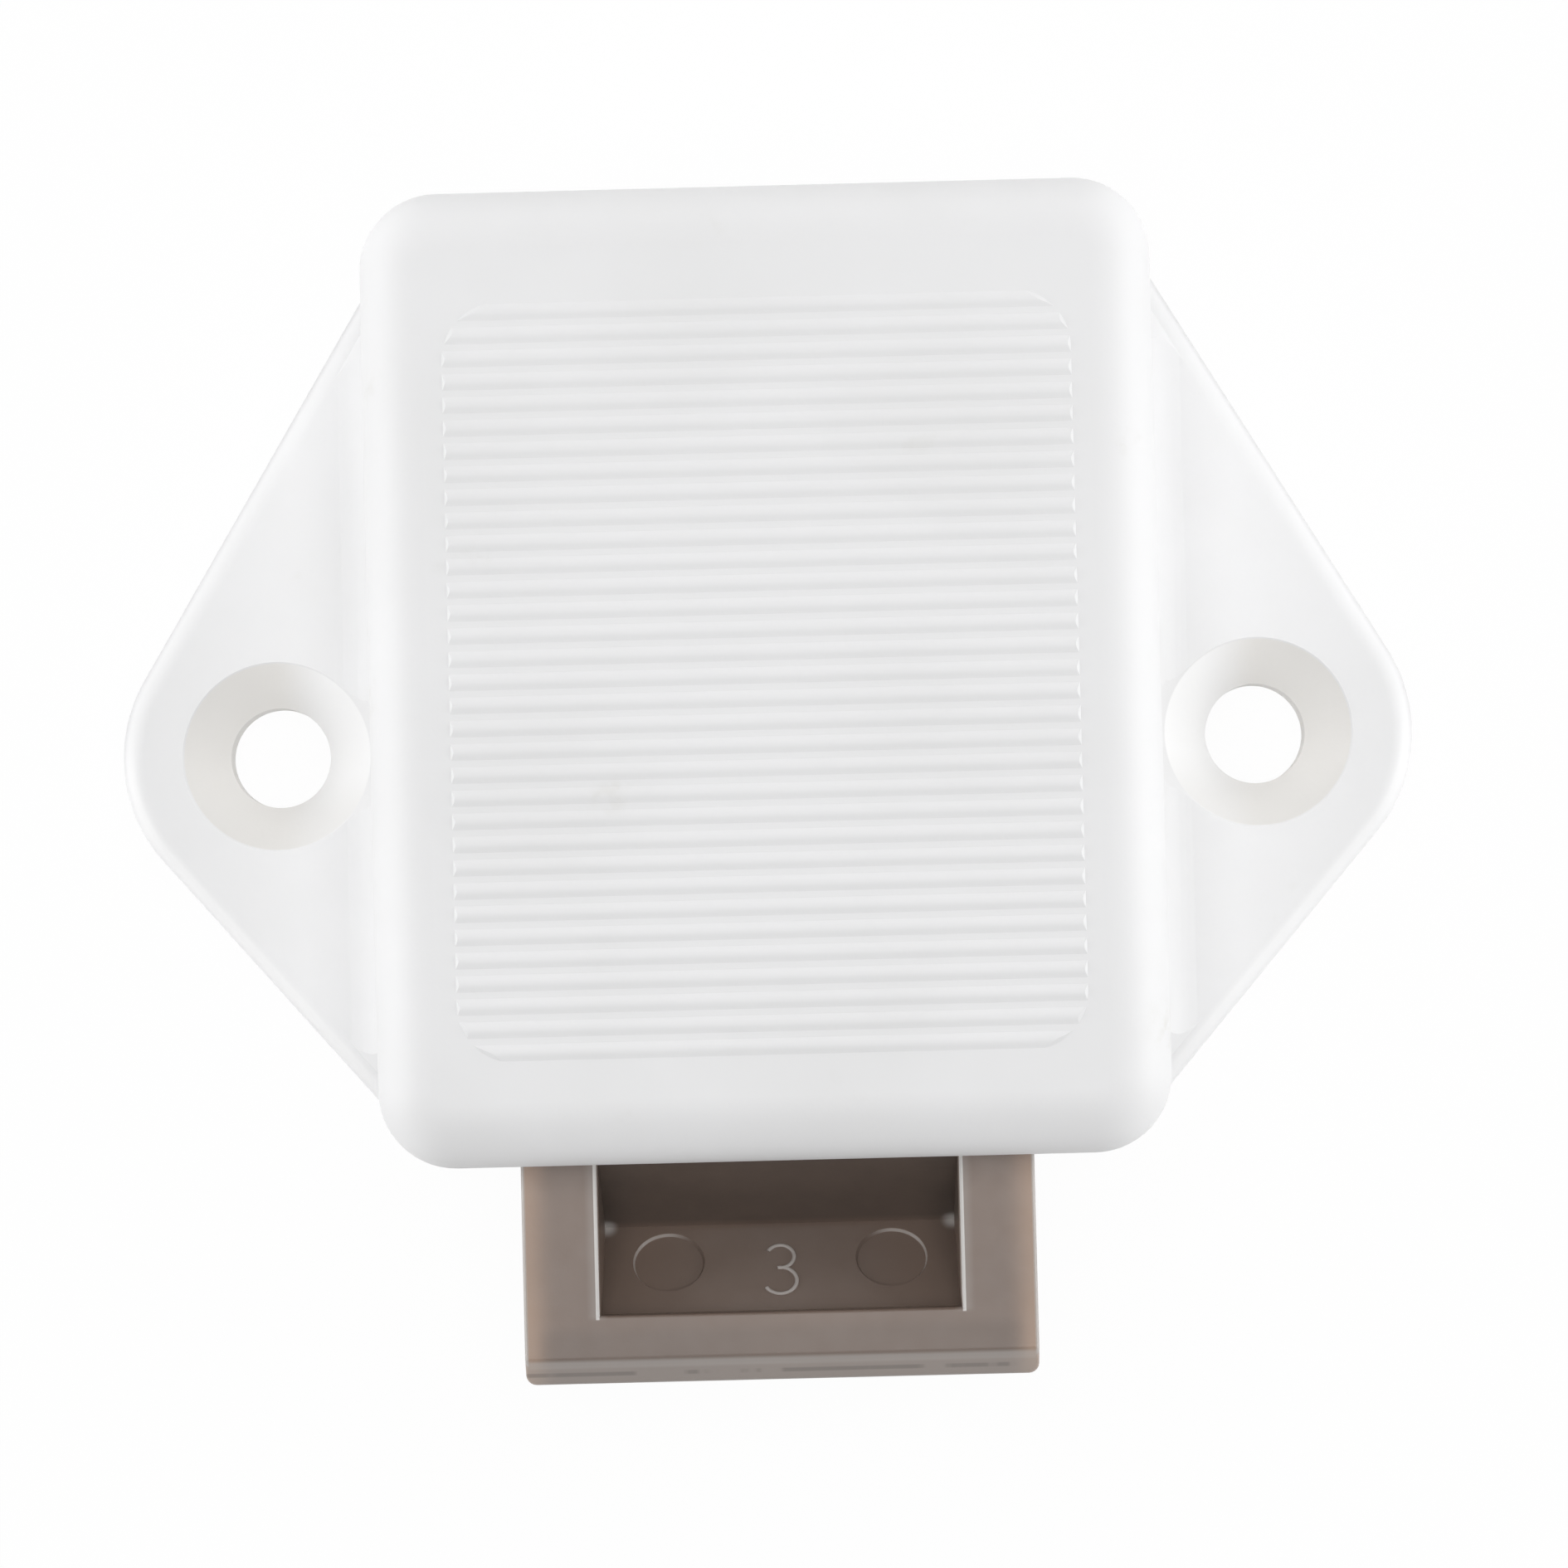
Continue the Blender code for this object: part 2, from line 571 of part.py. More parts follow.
def make_tongue():
    tongue = prism("tongue", [tongue_profile()], -TONGUE_SIDE, TONGUE_SIDE, ALONG_X)
    stop_side = CAVITY_SIDE - STOP_SIDE_SPACE
    stop_back = STOP_FRONT + STOP_LENGTH
    stop_top = TONGUE_LOW + STOP_HEIGHT
    join(tongue, block("stops", (-stop_side, STOP_FRONT, TONGUE_LOW), (stop_side, stop_back, stop_top)))
    cut(tongue, strike_pocket())
    for side in (-1, 1):
        seat = (side * SPRING_X, SPRING_SEAT, SPRING_Z)
        mouth = (side * SPRING_X, TONGUE_END + OVERSHOOT, SPRING_Z)
        cut(tongue, rod("spring_bore", seat, mouth, SPRING_BORE_RADIUS, SMALL_ROUND_STEPS))
    core_side = TONGUE_SIDE - CORE_WALL
    core = block(
        "core",
        (-core_side, CAVITY_FRONT, TONGUE_LOW - OVERSHOOT),
        (core_side, SPRING_SEAT - CORE_WALL, GROOVE_FLOOR - CORE_WALL),
    )
    cut(tongue, core, prism("heart_groove", groove_outlines(), GROOVE_FLOOR, TONGUE_TOP + OVERSHOOT))
    brown = make_material("brown plastic", (0.24, 0.19, 0.165), 0.4)
    finish_part(tongue, brown, (0, 0, SPRING_Z))


def wire_object(name, points, diameter, resolution, material, origin):
    """A round wire along straight steps between points."""
    curve = bpy.data.curves.new(name, "CURVE")
    curve.dimensions = "3D"
    curve.bevel_depth = diameter / 2
    curve.bevel_resolution = resolution
    curve.use_fill_caps = True
    spline = curve.splines.new("POLY")
    spline.points.add(len(points) - 1)
    for point, place in zip(spline.points, points):
        point.co = place.to_4d()
    finish_part(add_object(name, curve), material, origin)


def least_gap(points, wire, skip):
    """Least clear distance of a wire to itself, past the points that are neighbours along it."""
    apart = [(a - b).length for i, a in enumerate(points) for b in points[i + skip:]]
    return min(apart) - wire


def make_springs():
    steel = make_material("spring steel", (0.62, 0.62, 0.63), 0.25, 1.0)
    low = SPRING_SEAT + SEAT_GAP + SPRING_WIRE / 2
    length = CAVITY_BACK - SEAT_GAP - SPRING_WIRE / 2 - low
    count = SPRING_TURNS * COIL_STEPS
    for side, name in ((-1, "spring_left"), (1, "spring_right")):
        points = []
        for i in range(count + 1):
            turn = 2 * math.pi * i / COIL_STEPS
            x = side * SPRING_X + SPRING_RADIUS * math.cos(turn)
            z = SPRING_Z + SPRING_RADIUS * math.sin(turn)
            points.append(Vector((x, low + length * i / count, z)))
        gap = least_gap(points, SPRING_WIRE, COIL_STEPS // 2)
        print(f"{name}: least gap of the wire to itself {gap * 1000:.2f} mm")
        wire_object(name, points, SPRING_WIRE, 1, steel, (0, 0, 0))


def bend(corner, before, after):
    """Points round a wire's bend at a corner between two directions at right angles."""
    radius = WIRE_RADIUS + FOLLOWER_BEND
    centre = corner - radius * (before - after)
    turns = [math.pi / 2 * i / EDGE_STEPS for i in range(EDGE_STEPS + 1)]
    return [centre + radius * (before * math.sin(turn) - after * math.cos(turn)) for turn in turns]


def make_cam_follower():
    up, forward = Vector((0, 0, 1)), Vector((0, -1, 0))
    pivot = Vector((0, PIVOT_Y, ARM_Z))
    tip = pivot + FOLLOWER_ARM * forward
    points = [Vector((0, PIVOT_Y, CEILING))]
    points += bend(pivot, -up, forward)
    points += bend(tip, forward, -up)
    points.append(Vector((*tip.xy, GROOVE_FLOOR + RUNNING_GAP)))
    steel = make_material("follower steel", (0.5, 0.5, 0.51), 0.3, 1.0)
    wire_object("cam_follower", points, FOLLOWER_WIRE, 2, steel, (0, PIVOT_Y, 0))


def make_leaf_spring():
    """Strip that sits on the pivot boss under the roof and slopes down onto the follower's arm."""
    high = CEILING - SEAT_GAP
    low = ARM_CLEAR_Z + LEAF_THICKNESS
    knee = PIVOT_Y - LEAF_SIDE
    upper = [(PIVOT_Y + LEAF_SIDE, high), (knee, high), (knee - LEAF_ARM, low)]
    lower = [(y, z - LEAF_THICKNESS) for y, z in reversed(upper)]
    leaf = prism("follower_leaf_spring", [upper + lower], -LEAF_SIDE, LEAF_SIDE, ALONG_X)
    cut(leaf, rod("leaf_hole", (0, PIVOT_Y, ARM_CLEAR_Z), (0, PIVOT_Y, BODY_HEIGHT), LEAF_HOLE_RADIUS))
    finish_part(leaf, make_material("leaf spring steel", (0.6, 0.6, 0.61), 0.3, 1.0))


FRAME = bpy.data.objects.new("touch_latch_frame", None)
PARTS.objects.link(FRAME)

make_housing()
make_base_plate()
make_screws()
make_tongue()
make_springs()
make_cam_follower()
make_leaf_spring()
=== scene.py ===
# %% [markdown]
# # A touch latch, dressed for the camera
# A touch latch holds a cupboard door shut: push the door once and a sprung tongue locks it, push again and
# it springs open. The CAD model already has every piece at its size and place, in metres. This lesson
# rebuilds its pieces with soft moulded edges, gives each finish its own nodes, and lights them.

# %% Load the frame
import contextlib
import json
import math

import bmesh
import bpy
from mathutils import Matrix, Vector


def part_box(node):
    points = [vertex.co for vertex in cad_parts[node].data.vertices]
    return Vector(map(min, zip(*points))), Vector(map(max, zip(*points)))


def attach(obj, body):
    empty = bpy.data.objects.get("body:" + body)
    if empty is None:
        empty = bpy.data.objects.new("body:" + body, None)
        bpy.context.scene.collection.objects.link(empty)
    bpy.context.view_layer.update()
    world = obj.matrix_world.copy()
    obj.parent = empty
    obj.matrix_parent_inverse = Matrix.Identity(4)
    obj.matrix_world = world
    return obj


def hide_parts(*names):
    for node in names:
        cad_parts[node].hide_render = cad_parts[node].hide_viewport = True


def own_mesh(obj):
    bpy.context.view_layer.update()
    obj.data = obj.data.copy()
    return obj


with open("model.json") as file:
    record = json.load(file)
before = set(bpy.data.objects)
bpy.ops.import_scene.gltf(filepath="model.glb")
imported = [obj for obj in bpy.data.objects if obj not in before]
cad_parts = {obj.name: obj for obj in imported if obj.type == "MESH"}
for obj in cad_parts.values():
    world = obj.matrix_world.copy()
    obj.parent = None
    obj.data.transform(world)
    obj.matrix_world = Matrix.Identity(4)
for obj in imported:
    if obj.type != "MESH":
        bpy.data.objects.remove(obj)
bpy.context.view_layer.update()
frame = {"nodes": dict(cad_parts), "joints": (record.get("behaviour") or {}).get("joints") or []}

MM = 0.001

# %% [markdown]
# ## The camera
# The photograph looks almost straight down on the cover from about 27 cm, through a long lens, turned by a
# degree and a half. A long lens far away keeps the sides of the case nearly hidden, which is what the
# photograph shows, so the camera goes in first and every later piece is judged through it.

# %% Place the camera
CAMERA_PLACE = Vector((1.77, -11.56, 285.1)) * MM
CAMERA_TURN = [math.radians(angle) for angle in (1.98, 0.27, -1.45)]
CAMERA_LENS, SENSOR, CLIP_START = 144.0, 36.0, 10 * MM

bpy.ops.object.select_all(action="DESELECT")
bpy.ops.object.camera_add(location=CAMERA_PLACE, rotation=CAMERA_TURN)
camera = bpy.context.object
camera.name = "overhead_camera"
camera.data.lens = CAMERA_LENS
camera.data.sensor_width = SENSOR
camera.data.clip_start = CLIP_START
bpy.context.scene.camera = camera
print("camera at", [round(value, 4) for value in camera.location])

# %% [markdown]
# ## Hands
# Modelling by hand in Blender means: add a primitive, go into edit mode, select some edges or faces, and
# use an operator on them. These helpers do those steps from code. An operator works on whatever is
# selected, so each helper first deselects everything.


# %% Helpers for selecting and editing
def take(piece):
    """Make this the only selected piece, and the active one."""
    bpy.ops.object.select_all(action="DESELECT")
    piece.select_set(True)
    bpy.context.view_layer.objects.active = piece


@contextlib.contextmanager
def editing(piece, kind):
    """Edit mode on one piece, with nothing selected yet, selecting by VERT, EDGE or FACE."""
    take(piece)
    bpy.ops.object.mode_set(mode="EDIT")
    bpy.ops.mesh.select_mode(type=kind)
    bpy.ops.mesh.select_all(action="DESELECT")
    yield
    bpy.ops.object.mode_set(mode="OBJECT")


def pick(piece, wanted):
    """In edit mode, select just the vertices, edges or faces that are wanted."""
    bpy.ops.mesh.select_all(action="DESELECT")
    bm = bmesh.from_edit_mesh(piece.data)
    kind = next(iter(bm.select_mode))
    for element in {"VERT": bm.verts, "EDGE": bm.edges, "FACE": bm.faces}[kind]:
        if wanted(element):
            element.select_set(True)
    bm.select_flush_mode()
    bmesh.update_edit_mesh(piece.data)


# %% Tests for edges
NEAR = 0.002 * MM


def near(a, b):
    """Whether two lengths are the same, apart from rounding."""
    return abs(a - b) < NEAR


def level_edge(height):
    """A test for edges that lie at one height."""
    return lambda edge: all(near(vert.co.z, height) for vert in edge.verts)


def upright_edge(edge):
    """Whether an edge stands upright."""
    low, high = (vert.co for vert in edge.verts)
    return near(low.x, high.x) and near(low.y, high.y)


# %% Helpers for primitives and modifiers
# A cutting tool reaches this far past what it cuts.
BEYOND = 1.0 * MM


def block(name, low, high):
    """A cube primitive stretched between two corners, with its place in its mesh."""
    low, high = Vector(low), Vector(high)
    bpy.ops.object.select_all(action="DESELECT")
    bpy.ops.mesh.primitive_cube_add(size=1, location=(low + high) / 2, scale=high - low)
    bpy.ops.object.transform_apply(location=True, rotation=True, scale=True)
    bpy.context.object.name = name
    return bpy.context.object


def rod(name, centre, radius, length, sides, turn=(0, 0, 0), top_radius=None):
    """A cylinder or cone primitive with its place in its mesh."""
    bpy.ops.object.select_all(action="DESELECT")
    bpy.ops.mesh.primitive_cone_add(
        vertices=sides,
        radius1=radius,
        radius2=radius if top_radius is None else top_radius,
        depth=length,
        location=centre,
        rotation=turn,
    )
    bpy.ops.object.transform_apply(location=True, rotation=True, scale=True)
    bpy.context.object.name = name
    return bpy.context.object


def apply_modifier(piece, kind, **settings):
    """Add a modifier with these settings and apply it."""
    modifier = piece.modifiers.new(kind.lower(), kind)
    for key, value in settings.items():
        setattr(modifier, key, value)
    take(piece)
    bpy.ops.object.modifier_apply(modifier=modifier.name)


def carve(piece, tool, operation="DIFFERENCE"):
    """A boolean with a tool that is used up."""
    apply_modifier(piece, "BOOLEAN", object=tool, operation=operation, solver="EXACT")
    bpy.data.objects.remove(tool)


def round_off(radius, segments):
    """In edit mode, bevel the selected edges."""
    bpy.ops.mesh.bevel(offset=radius, segments=segments, affect="EDGES")


# %% [markdown]
# ## The case
# The real case is one white moulding: a box with rounded upright corners and a soft rim, and two flat ears
# for the screws. A cube with its upright edges bevelled and then its top rim bevelled gives the same form
# as the rounded cutter that made the mould.

# %% Box with rounded corners and a soft rim
CASE_SIDE, CASE_FRONT, CASE_BACK, CASE_TOP = 17.25 * MM, -18.45 * MM, 24.05 * MM, 15.0 * MM
CASE_CORNER, CASE_RIM = 3.4 * MM, 2.8 * MM
CORNER_STEPS, RIM_STEPS = 14, 12


def case_box(name, inset, bottom):
    """The outer form of the case, made smaller by an inset."""
    low = (inset - CASE_SIDE, CASE_FRONT + inset, bottom)
    box = block(name, low, (CASE_SIDE - inset, CASE_BACK - inset, CASE_TOP - inset))
    with editing(box, "EDGE"):
        pick(box, upright_edge)
        round_off(CASE_CORNER - inset, CORNER_STEPS)
        pick(box, level_edge(CASE_TOP - inset))
        round_off(CASE_RIM - inset, RIM_STEPS)
    return box


case = case_box("case_moulding", 0, 0)
print("case box:", len(case.data.polygons), "faces")

# %% [markdown]
# ## The ears
# Seen from above an ear is a round tip about the screw hole, with straight edges that run back to touch the
# two rounded corners of the case. That is the convex hull of three upright cylinders, so the hull operator
# draws it. The upper edge is rounded, and a hollow fillet leads from the ear up the side of the case: a bar
# with its hollow side cut by a rounded block, kept only where it stands over the ear. The hull that trims
# it leans inwards, so the fillet fades out in a slope.

# %% Plan of an ear
HOLE_X, EAR_TIP = 22.0 * MM, 6.999 * MM
EAR_TOP, EAR_ROUND, EAR_FILLET = 4.0 * MM, 1.0 * MM, 2.0 * MM
EAR_TUCK = 0.04 * MM
EAR_CORNER = CASE_CORNER - EAR_TUCK
TIP_SIDES, EAR_CORNER_SIDES = 128, 50
FLAT_UPRIGHT, FLAT_LEANING = math.radians(0.5), math.radians(0.01)


def ear_hull(side, low, high, low_inset=0, high_inset=0):
    """The hull of the ear's tip and the two case corners on that side, between two heights."""
    corner_x = CASE_SIDE - CASE_CORNER
    rods = []
    for x, y, radius, sides in (
        (HOLE_X, 0, EAR_TIP, TIP_SIDES),
        (corner_x, CASE_FRONT + CASE_CORNER, EAR_CORNER, EAR_CORNER_SIDES),
        (corner_x, CASE_BACK - CASE_CORNER, EAR_CORNER, EAR_CORNER_SIDES),
    ):
        centre = (side * x, y, (low + high) / 2)
        top_radius = radius - high_inset
        rods.append(rod("ear", centre, radius - low_inset, high - low, sides, top_radius=top_radius))
    hull = rods[0]
    take(hull)
    for other in rods[1:]:
        other.select_set(True)
    bpy.ops.object.join()
    with editing(hull, "VERT"):
        bpy.ops.mesh.select_all(action="SELECT")
        bpy.ops.mesh.convex_hull()
        bpy.ops.mesh.select_all(action="SELECT")
        flat = FLAT_UPRIGHT if low_inset == high_inset else FLAT_LEANING
        bpy.ops.mesh.dissolve_limited(angle_limit=flat)
    return hull


# %% Fillet at the root of an ear
FILLET_INSET, FILLET_FOOT, FILLET_DIP = 0.85 * MM, 0.45 * MM, 0.02 * MM
FILLET_STEPS = 10


def root_fillet(side):
    """A bar along the side of the case with a hollow outer side, trimmed to stand over the ear."""
    inner, corner, outer = (side * (CASE_SIDE + out) for out in (-EAR_FILLET, -FILLET_DIP, EAR_FILLET))
    fillet = block(
        "fillet",
        (min(inner, outer), CASE_FRONT, EAR_TOP - EAR_FILLET),
        (max(inner, outer), CASE_BACK, EAR_TOP + EAR_FILLET),
    )
    hollow_low = EAR_TOP - FILLET_DIP
    hollow = block(
        "fillet_hollow",
        (min(corner, 2 * corner), 2 * CASE_FRONT, hollow_low),
        (max(corner, 2 * corner), 2 * CASE_BACK, 3 * EAR_TOP),
    )

    def root_edge(edge):
        return all(near(vert.co.z, hollow_low) and near(vert.co.x, corner) for vert in edge.verts)

    with editing(hollow, "EDGE"):
        pick(hollow, root_edge)
        round_off(EAR_FILLET, FILLET_STEPS)
    carve(fillet, hollow)
    trim_low, trim_high = EAR_TOP - FILLET_FOOT, EAR_TOP + EAR_FILLET + BEYOND / 10
    low_inset, high_inset = FILLET_INSET - FILLET_FOOT, FILLET_INSET + trim_high - EAR_TOP
    carve(fillet, ear_hull(side, trim_low, trim_high, low_inset, high_inset), "INTERSECT")
    return fillet


# %% Two ears on the case
EAR_STEPS = 8

for side in (-1, 1):
    ear = ear_hull(side, 0, EAR_TOP)
    with editing(ear, "EDGE"):
        pick(ear, level_edge(EAR_TOP))
        round_off(EAR_ROUND, EAR_STEPS)
    carve(case, ear, "UNION")
    carve(case, root_fillet(side), "UNION")
print("case with ears:", len(case.data.polygons), "faces")

# %% [markdown]
# ## The ribbed panel
# The cover has a panel of fine cross ribs, a thumb grip, one millimetre apart. They are soft waves, so one
# strip of a grid is lifted into a wave, an array repeats it and an extrusion makes it a slab. A block with
# rounded corners and sloping sides trims the ends. The wave dips just under the cover, so each valley has a
# flat floor.

# %% Ribs, lifted into a wave and arrayed
RIB_PITCH, RIB_HEIGHT, RIB_DIP = 1.0 * MM, 0.09 * MM, 0.02 * MM
RIB_COUNT, RIB_STEPS = 33, 14
PANEL_SIDE, PANEL_FRONT, PANEL_BACK = 13.6 * MM, -13.9 * MM, 18.95 * MM


def pull_up(height):
    """In edit mode, extrude the selected faces straight up, or down by a height below 0."""
    bpy.ops.mesh.extrude_region_move(TRANSFORM_OT_translate={"value": (0, 0, height)})


first_rib = (PANEL_FRONT + PANEL_BACK - (RIB_COUNT - 1) * RIB_PITCH) / 2
bpy.ops.object.select_all(action="DESELECT")
bpy.ops.mesh.primitive_grid_add(x_subdivisions=1, y_subdivisions=RIB_STEPS, size=1)
ribs = bpy.context.object
ribs.name = "ribs"
for vert in ribs.data.vertices:
    wave = (1 + math.cos(2 * math.pi * vert.co.y)) / 2
    vert.co = (
        2 * CASE_SIDE * vert.co.x,
        first_rib + RIB_PITCH * vert.co.y,
        CASE_TOP - RIB_DIP + (RIB_HEIGHT + RIB_DIP) * wave,
    )
apply_modifier(
    ribs,
    "ARRAY",
    count=RIB_COUNT,
    use_relative_offset=False,
    use_constant_offset=True,
    constant_offset_displace=(0, RIB_PITCH, 0),
    use_merge_vertices=True,
    merge_threshold=NEAR,
)
with editing(ribs, "FACE"):
    bpy.ops.mesh.select_all(action="SELECT")
    pull_up(-RIB_HEIGHT)
    bpy.ops.mesh.select_all(action="SELECT")
    bpy.ops.mesh.normals_make_consistent(inside=False)
print("ribs:", len(ribs.data.polygons), "faces")

# %% Ends of the ribs, trimmed by a block with sloping sides
PANEL_CORNER, PANEL_STEPS, RIB_SLOPE = 2.4 * MM, 10, 0.13 * MM

panel = block(
    "panel",
    (-PANEL_SIDE - RIB_SLOPE, PANEL_FRONT - RIB_SLOPE, CASE_TOP - RIB_HEIGHT),
    (PANEL_SIDE + RIB_SLOPE, PANEL_BACK + RIB_SLOPE, CASE_TOP + RIB_HEIGHT + NEAR),
)
with editing(panel, "EDGE"):
    pick(panel, upright_edge)
    round_off(PANEL_CORNER + RIB_SLOPE, PANEL_STEPS)
    bpy.ops.mesh.select_mode(type="VERT")
    pick(panel, lambda vert: vert.co.z > CASE_TOP)
    centre = (0, (PANEL_FRONT + PANEL_BACK) / 2, CASE_TOP)
    halves = PANEL_SIDE, (PANEL_BACK - PANEL_FRONT) / 2
    shrink = [(half - RIB_SLOPE) / (half + RIB_SLOPE) for half in halves]
    bpy.ops.transform.resize(value=(*shrink, 1), center_override=centre)
carve(ribs, panel, "INTERSECT")
carve(case, ribs, "UNION")
print("case with ribs:", len(case.data.polygons), "faces")

# %% [markdown]
# ## Screw holes and the hollow inside
# Each ear has a hole for a countersunk screw: a cylinder whose top face is pulled up and widened, and then
# pulled straight up so that it clears the fillet and just misses the side of the case. The inside of the
# case, with its bosses and rails, is already right in the CAD solid. A slightly smaller case box, less the
# CAD housing, is exactly that hollow, so it can be cut from the new shell.

# %% Countersunk holes
HOLE, SINK, HOLE_SIDES = 2.25 * MM, 4.25 * MM, 72
CONE_WIDE = HOLE_X - CASE_SIDE - 10 * NEAR
CONE_LOW, CONE_TOP = EAR_TOP - (SINK - HOLE), EAR_TOP + CONE_WIDE - SINK
UPWARD = 0.9


def faces_up(face):
    """Whether a face looks about straight up."""
    return face.normal.z > UPWARD


for side in (-1, 1):
    length = CONE_LOW + BEYOND
    drill = rod("drill", (side * HOLE_X, 0, CONE_LOW - length / 2), HOLE, length, HOLE_SIDES)
    with editing(drill, "FACE"):
        pick(drill, faces_up)
        pull_up(CONE_TOP - CONE_LOW)
        spread = CONE_WIDE / HOLE
        centre = (side * HOLE_X, 0, CONE_TOP)
        bpy.ops.transform.resize(value=(spread, spread, 1), center_override=centre)
        pull_up(2 * EAR_FILLET)
    carve(case, drill)
print("case with holes:", len(case.data.polygons), "faces")

# %% Mouth, and hollow taken from the CAD housing
MOUTH_SIDE, MOUTH_LOW, MOUTH_HIGH = 11.6 * MM, 1.8 * MM, 9.3 * MM
SKIN = 0.5 * MM
MERGE_BELOW, FLAT_BELOW = 0.0001 * MM, math.radians(0.2)


def merged_copy(node):
    """A copy of a CAD node whose loose triangles are joined into one closed surface."""
    copy = bpy.data.objects.new(node + "_copy", frame["nodes"][node].data.copy())
    bpy.context.scene.collection.objects.link(copy)
    with editing(copy, "VERT"):
        bpy.ops.mesh.select_all(action="SELECT")
        bpy.ops.mesh.remove_doubles(threshold=MERGE_BELOW)
        bpy.ops.mesh.dissolve_limited(angle_limit=FLAT_BELOW)
    return copy


mouth_back = CASE_FRONT + 2 * SKIN
mouth_low = (-MOUTH_SIDE, CASE_FRONT - BEYOND, MOUTH_LOW)
carve(case, block("mouth", mouth_low, (MOUTH_SIDE, mouth_back, MOUTH_HIGH)))
hollow = case_box("hollow", SKIN, -BEYOND)
carve(hollow, merged_copy("housing"))
carve(case, hollow)
print("case with hollow:", len(case.data.polygons), "faces")

# %% [markdown]
# ## Smooth shading
# Smooth shading makes the bevels look round, but across a real corner it smears the light. So every edge
# past 32 degrees is marked sharp first. The countersinks and the slopes that end the ribs and the fillets
# meet their neighbours at gentler angles and are still crisp on the real moulding, so their borders are
# marked too. Normals weighted by area then keep large flat faces flat.

# %% Marked borders and weighted normals
SMOOTH_BELOW = math.radians(32)


def mark_border(piece, kind):
    """Mark the edges where a face of one kind meets a face of another as sharp."""
    with editing(piece, "EDGE"):
        pick(piece, lambda edge: sum(kind(face) for face in edge.link_faces) == 1)
        bpy.ops.mesh.mark_sharp()


def smooth(piece):
    """Mark the sharp edges, shade the rest smooth and weight the normals by the faces' areas."""
    with editing(piece, "EDGE"):
        bpy.ops.mesh.edges_select_sharp(sharpness=SMOOTH_BELOW)
        bpy.ops.mesh.mark_sharp()
    bpy.ops.object.shade_smooth()
    apply_modifier(piece, "WEIGHTED_NORMAL", keep_sharp=True)


# %% Smooth case with crisp countersinks, ribs and fillets
RIB_END_TILT, FILLET_END_NORMAL = math.radians(21), 0.15


def in_sink(face):
    """Whether every corner of a face lies on one of the two cones."""
    for vert in face.verts:
        from_axis = math.hypot(abs(vert.co.x) - HOLE_X, vert.co.y)
        if abs(vert.co.z - (EAR_TOP - SINK + from_axis)) > 10 * NEAR:
            return False
    return True


def at_rib_end(face):
    """Whether a face is one of the slopes that end the ribs."""
    above_cover = min(vert.co.z for vert in face.verts) > CASE_TOP - NEAR
    return above_cover and face.normal.z < math.cos(RIB_END_TILT)


def at_fillet_end(face):
    """Whether a face is one of the slopes that end the fillets."""
    for vert in face.verts:
        out, rise = abs(vert.co.x) - CASE_SIDE, vert.co.z - EAR_TOP
        if not -NEAR < out < EAR_FILLET + NEAR:
            return False
        if not -FILLET_FOOT - NEAR < rise < EAR_FILLET + NEAR:
            return False
    return abs(face.normal.y) > FILLET_END_NORMAL


for kind in (in_sink, at_rib_end, at_fillet_end):
    mark_border(case, kind)
smooth(case)
print("case:", len(case.data.polygons), "faces")

# %% [markdown]
# ## The tongue
# The tongue is a grey-brown slide with a V-shaped pocket for the strike on the door, a lip in front of it
# and a chamfered nose. Only its front shows. It is a block cut by two slanting planes, with a wedge taken
# out for the pocket and a small radius on its edges. The hidden back, with spring bores and heart groove,
# comes from the CAD solid and is fused on inside the mouth of the case.

# %% Front block with nose and sloping underside
TONGUE_SIDE, TONGUE_LOW, TONGUE_TOP = 11.3 * MM, 2.1 * MM, 9.0 * MM
POCKET_SIDE, POCKET_DEPTH, LIP_DROP = 8.0 * MM, 4.3 * MM, 1.3 * MM
STEEP, RAMP, DRAFT = math.radians(54.3), math.radians(39), math.radians(3)
POCKET_BACK = CASE_FRONT + 0.1 * MM
POCKET_CREASE = POCKET_BACK - POCKET_DEPTH / math.tan(STEEP)
POCKET_END = POCKET_CREASE - (POCKET_DEPTH - LIP_DROP) / math.tan(RAMP)
NOSE, NOSE_LAND, LIP = 1.1 * MM, 0.9 * MM, 1.945 * MM
TONGUE_TIP = POCKET_END - LIP - NOSE
TONGUE_JOIN, TIP_CORNER, TIP_STEPS = -17.0 * MM, 0.45 * MM, 5

tongue_low = (-TONGUE_SIDE, TONGUE_TIP, TONGUE_LOW)
tongue = block("tongue_moulding", tongue_low, (TONGUE_SIDE, TONGUE_JOIN, TONGUE_TOP))
with editing(tongue, "EDGE"):
    pick(tongue, lambda edge: upright_edge(edge) and edge.verts[0].co.y < TONGUE_JOIN - NEAR)
    round_off(TIP_CORNER, TIP_STEPS)
with editing(tongue, "FACE"):
    for height, normal in (
        (TONGUE_TOP - NOSE, (0, -1, 1)),
        (TONGUE_TOP - NOSE - NOSE_LAND, (0, -math.sin(RAMP), -math.cos(RAMP))),
    ):
        bpy.ops.mesh.select_all(action="SELECT")
        bpy.ops.mesh.bisect(
            plane_co=(0, TONGUE_TIP, height), plane_no=normal, clear_outer=True, use_fill=True
        )
print("tongue block:", len(tongue.data.polygons), "faces")

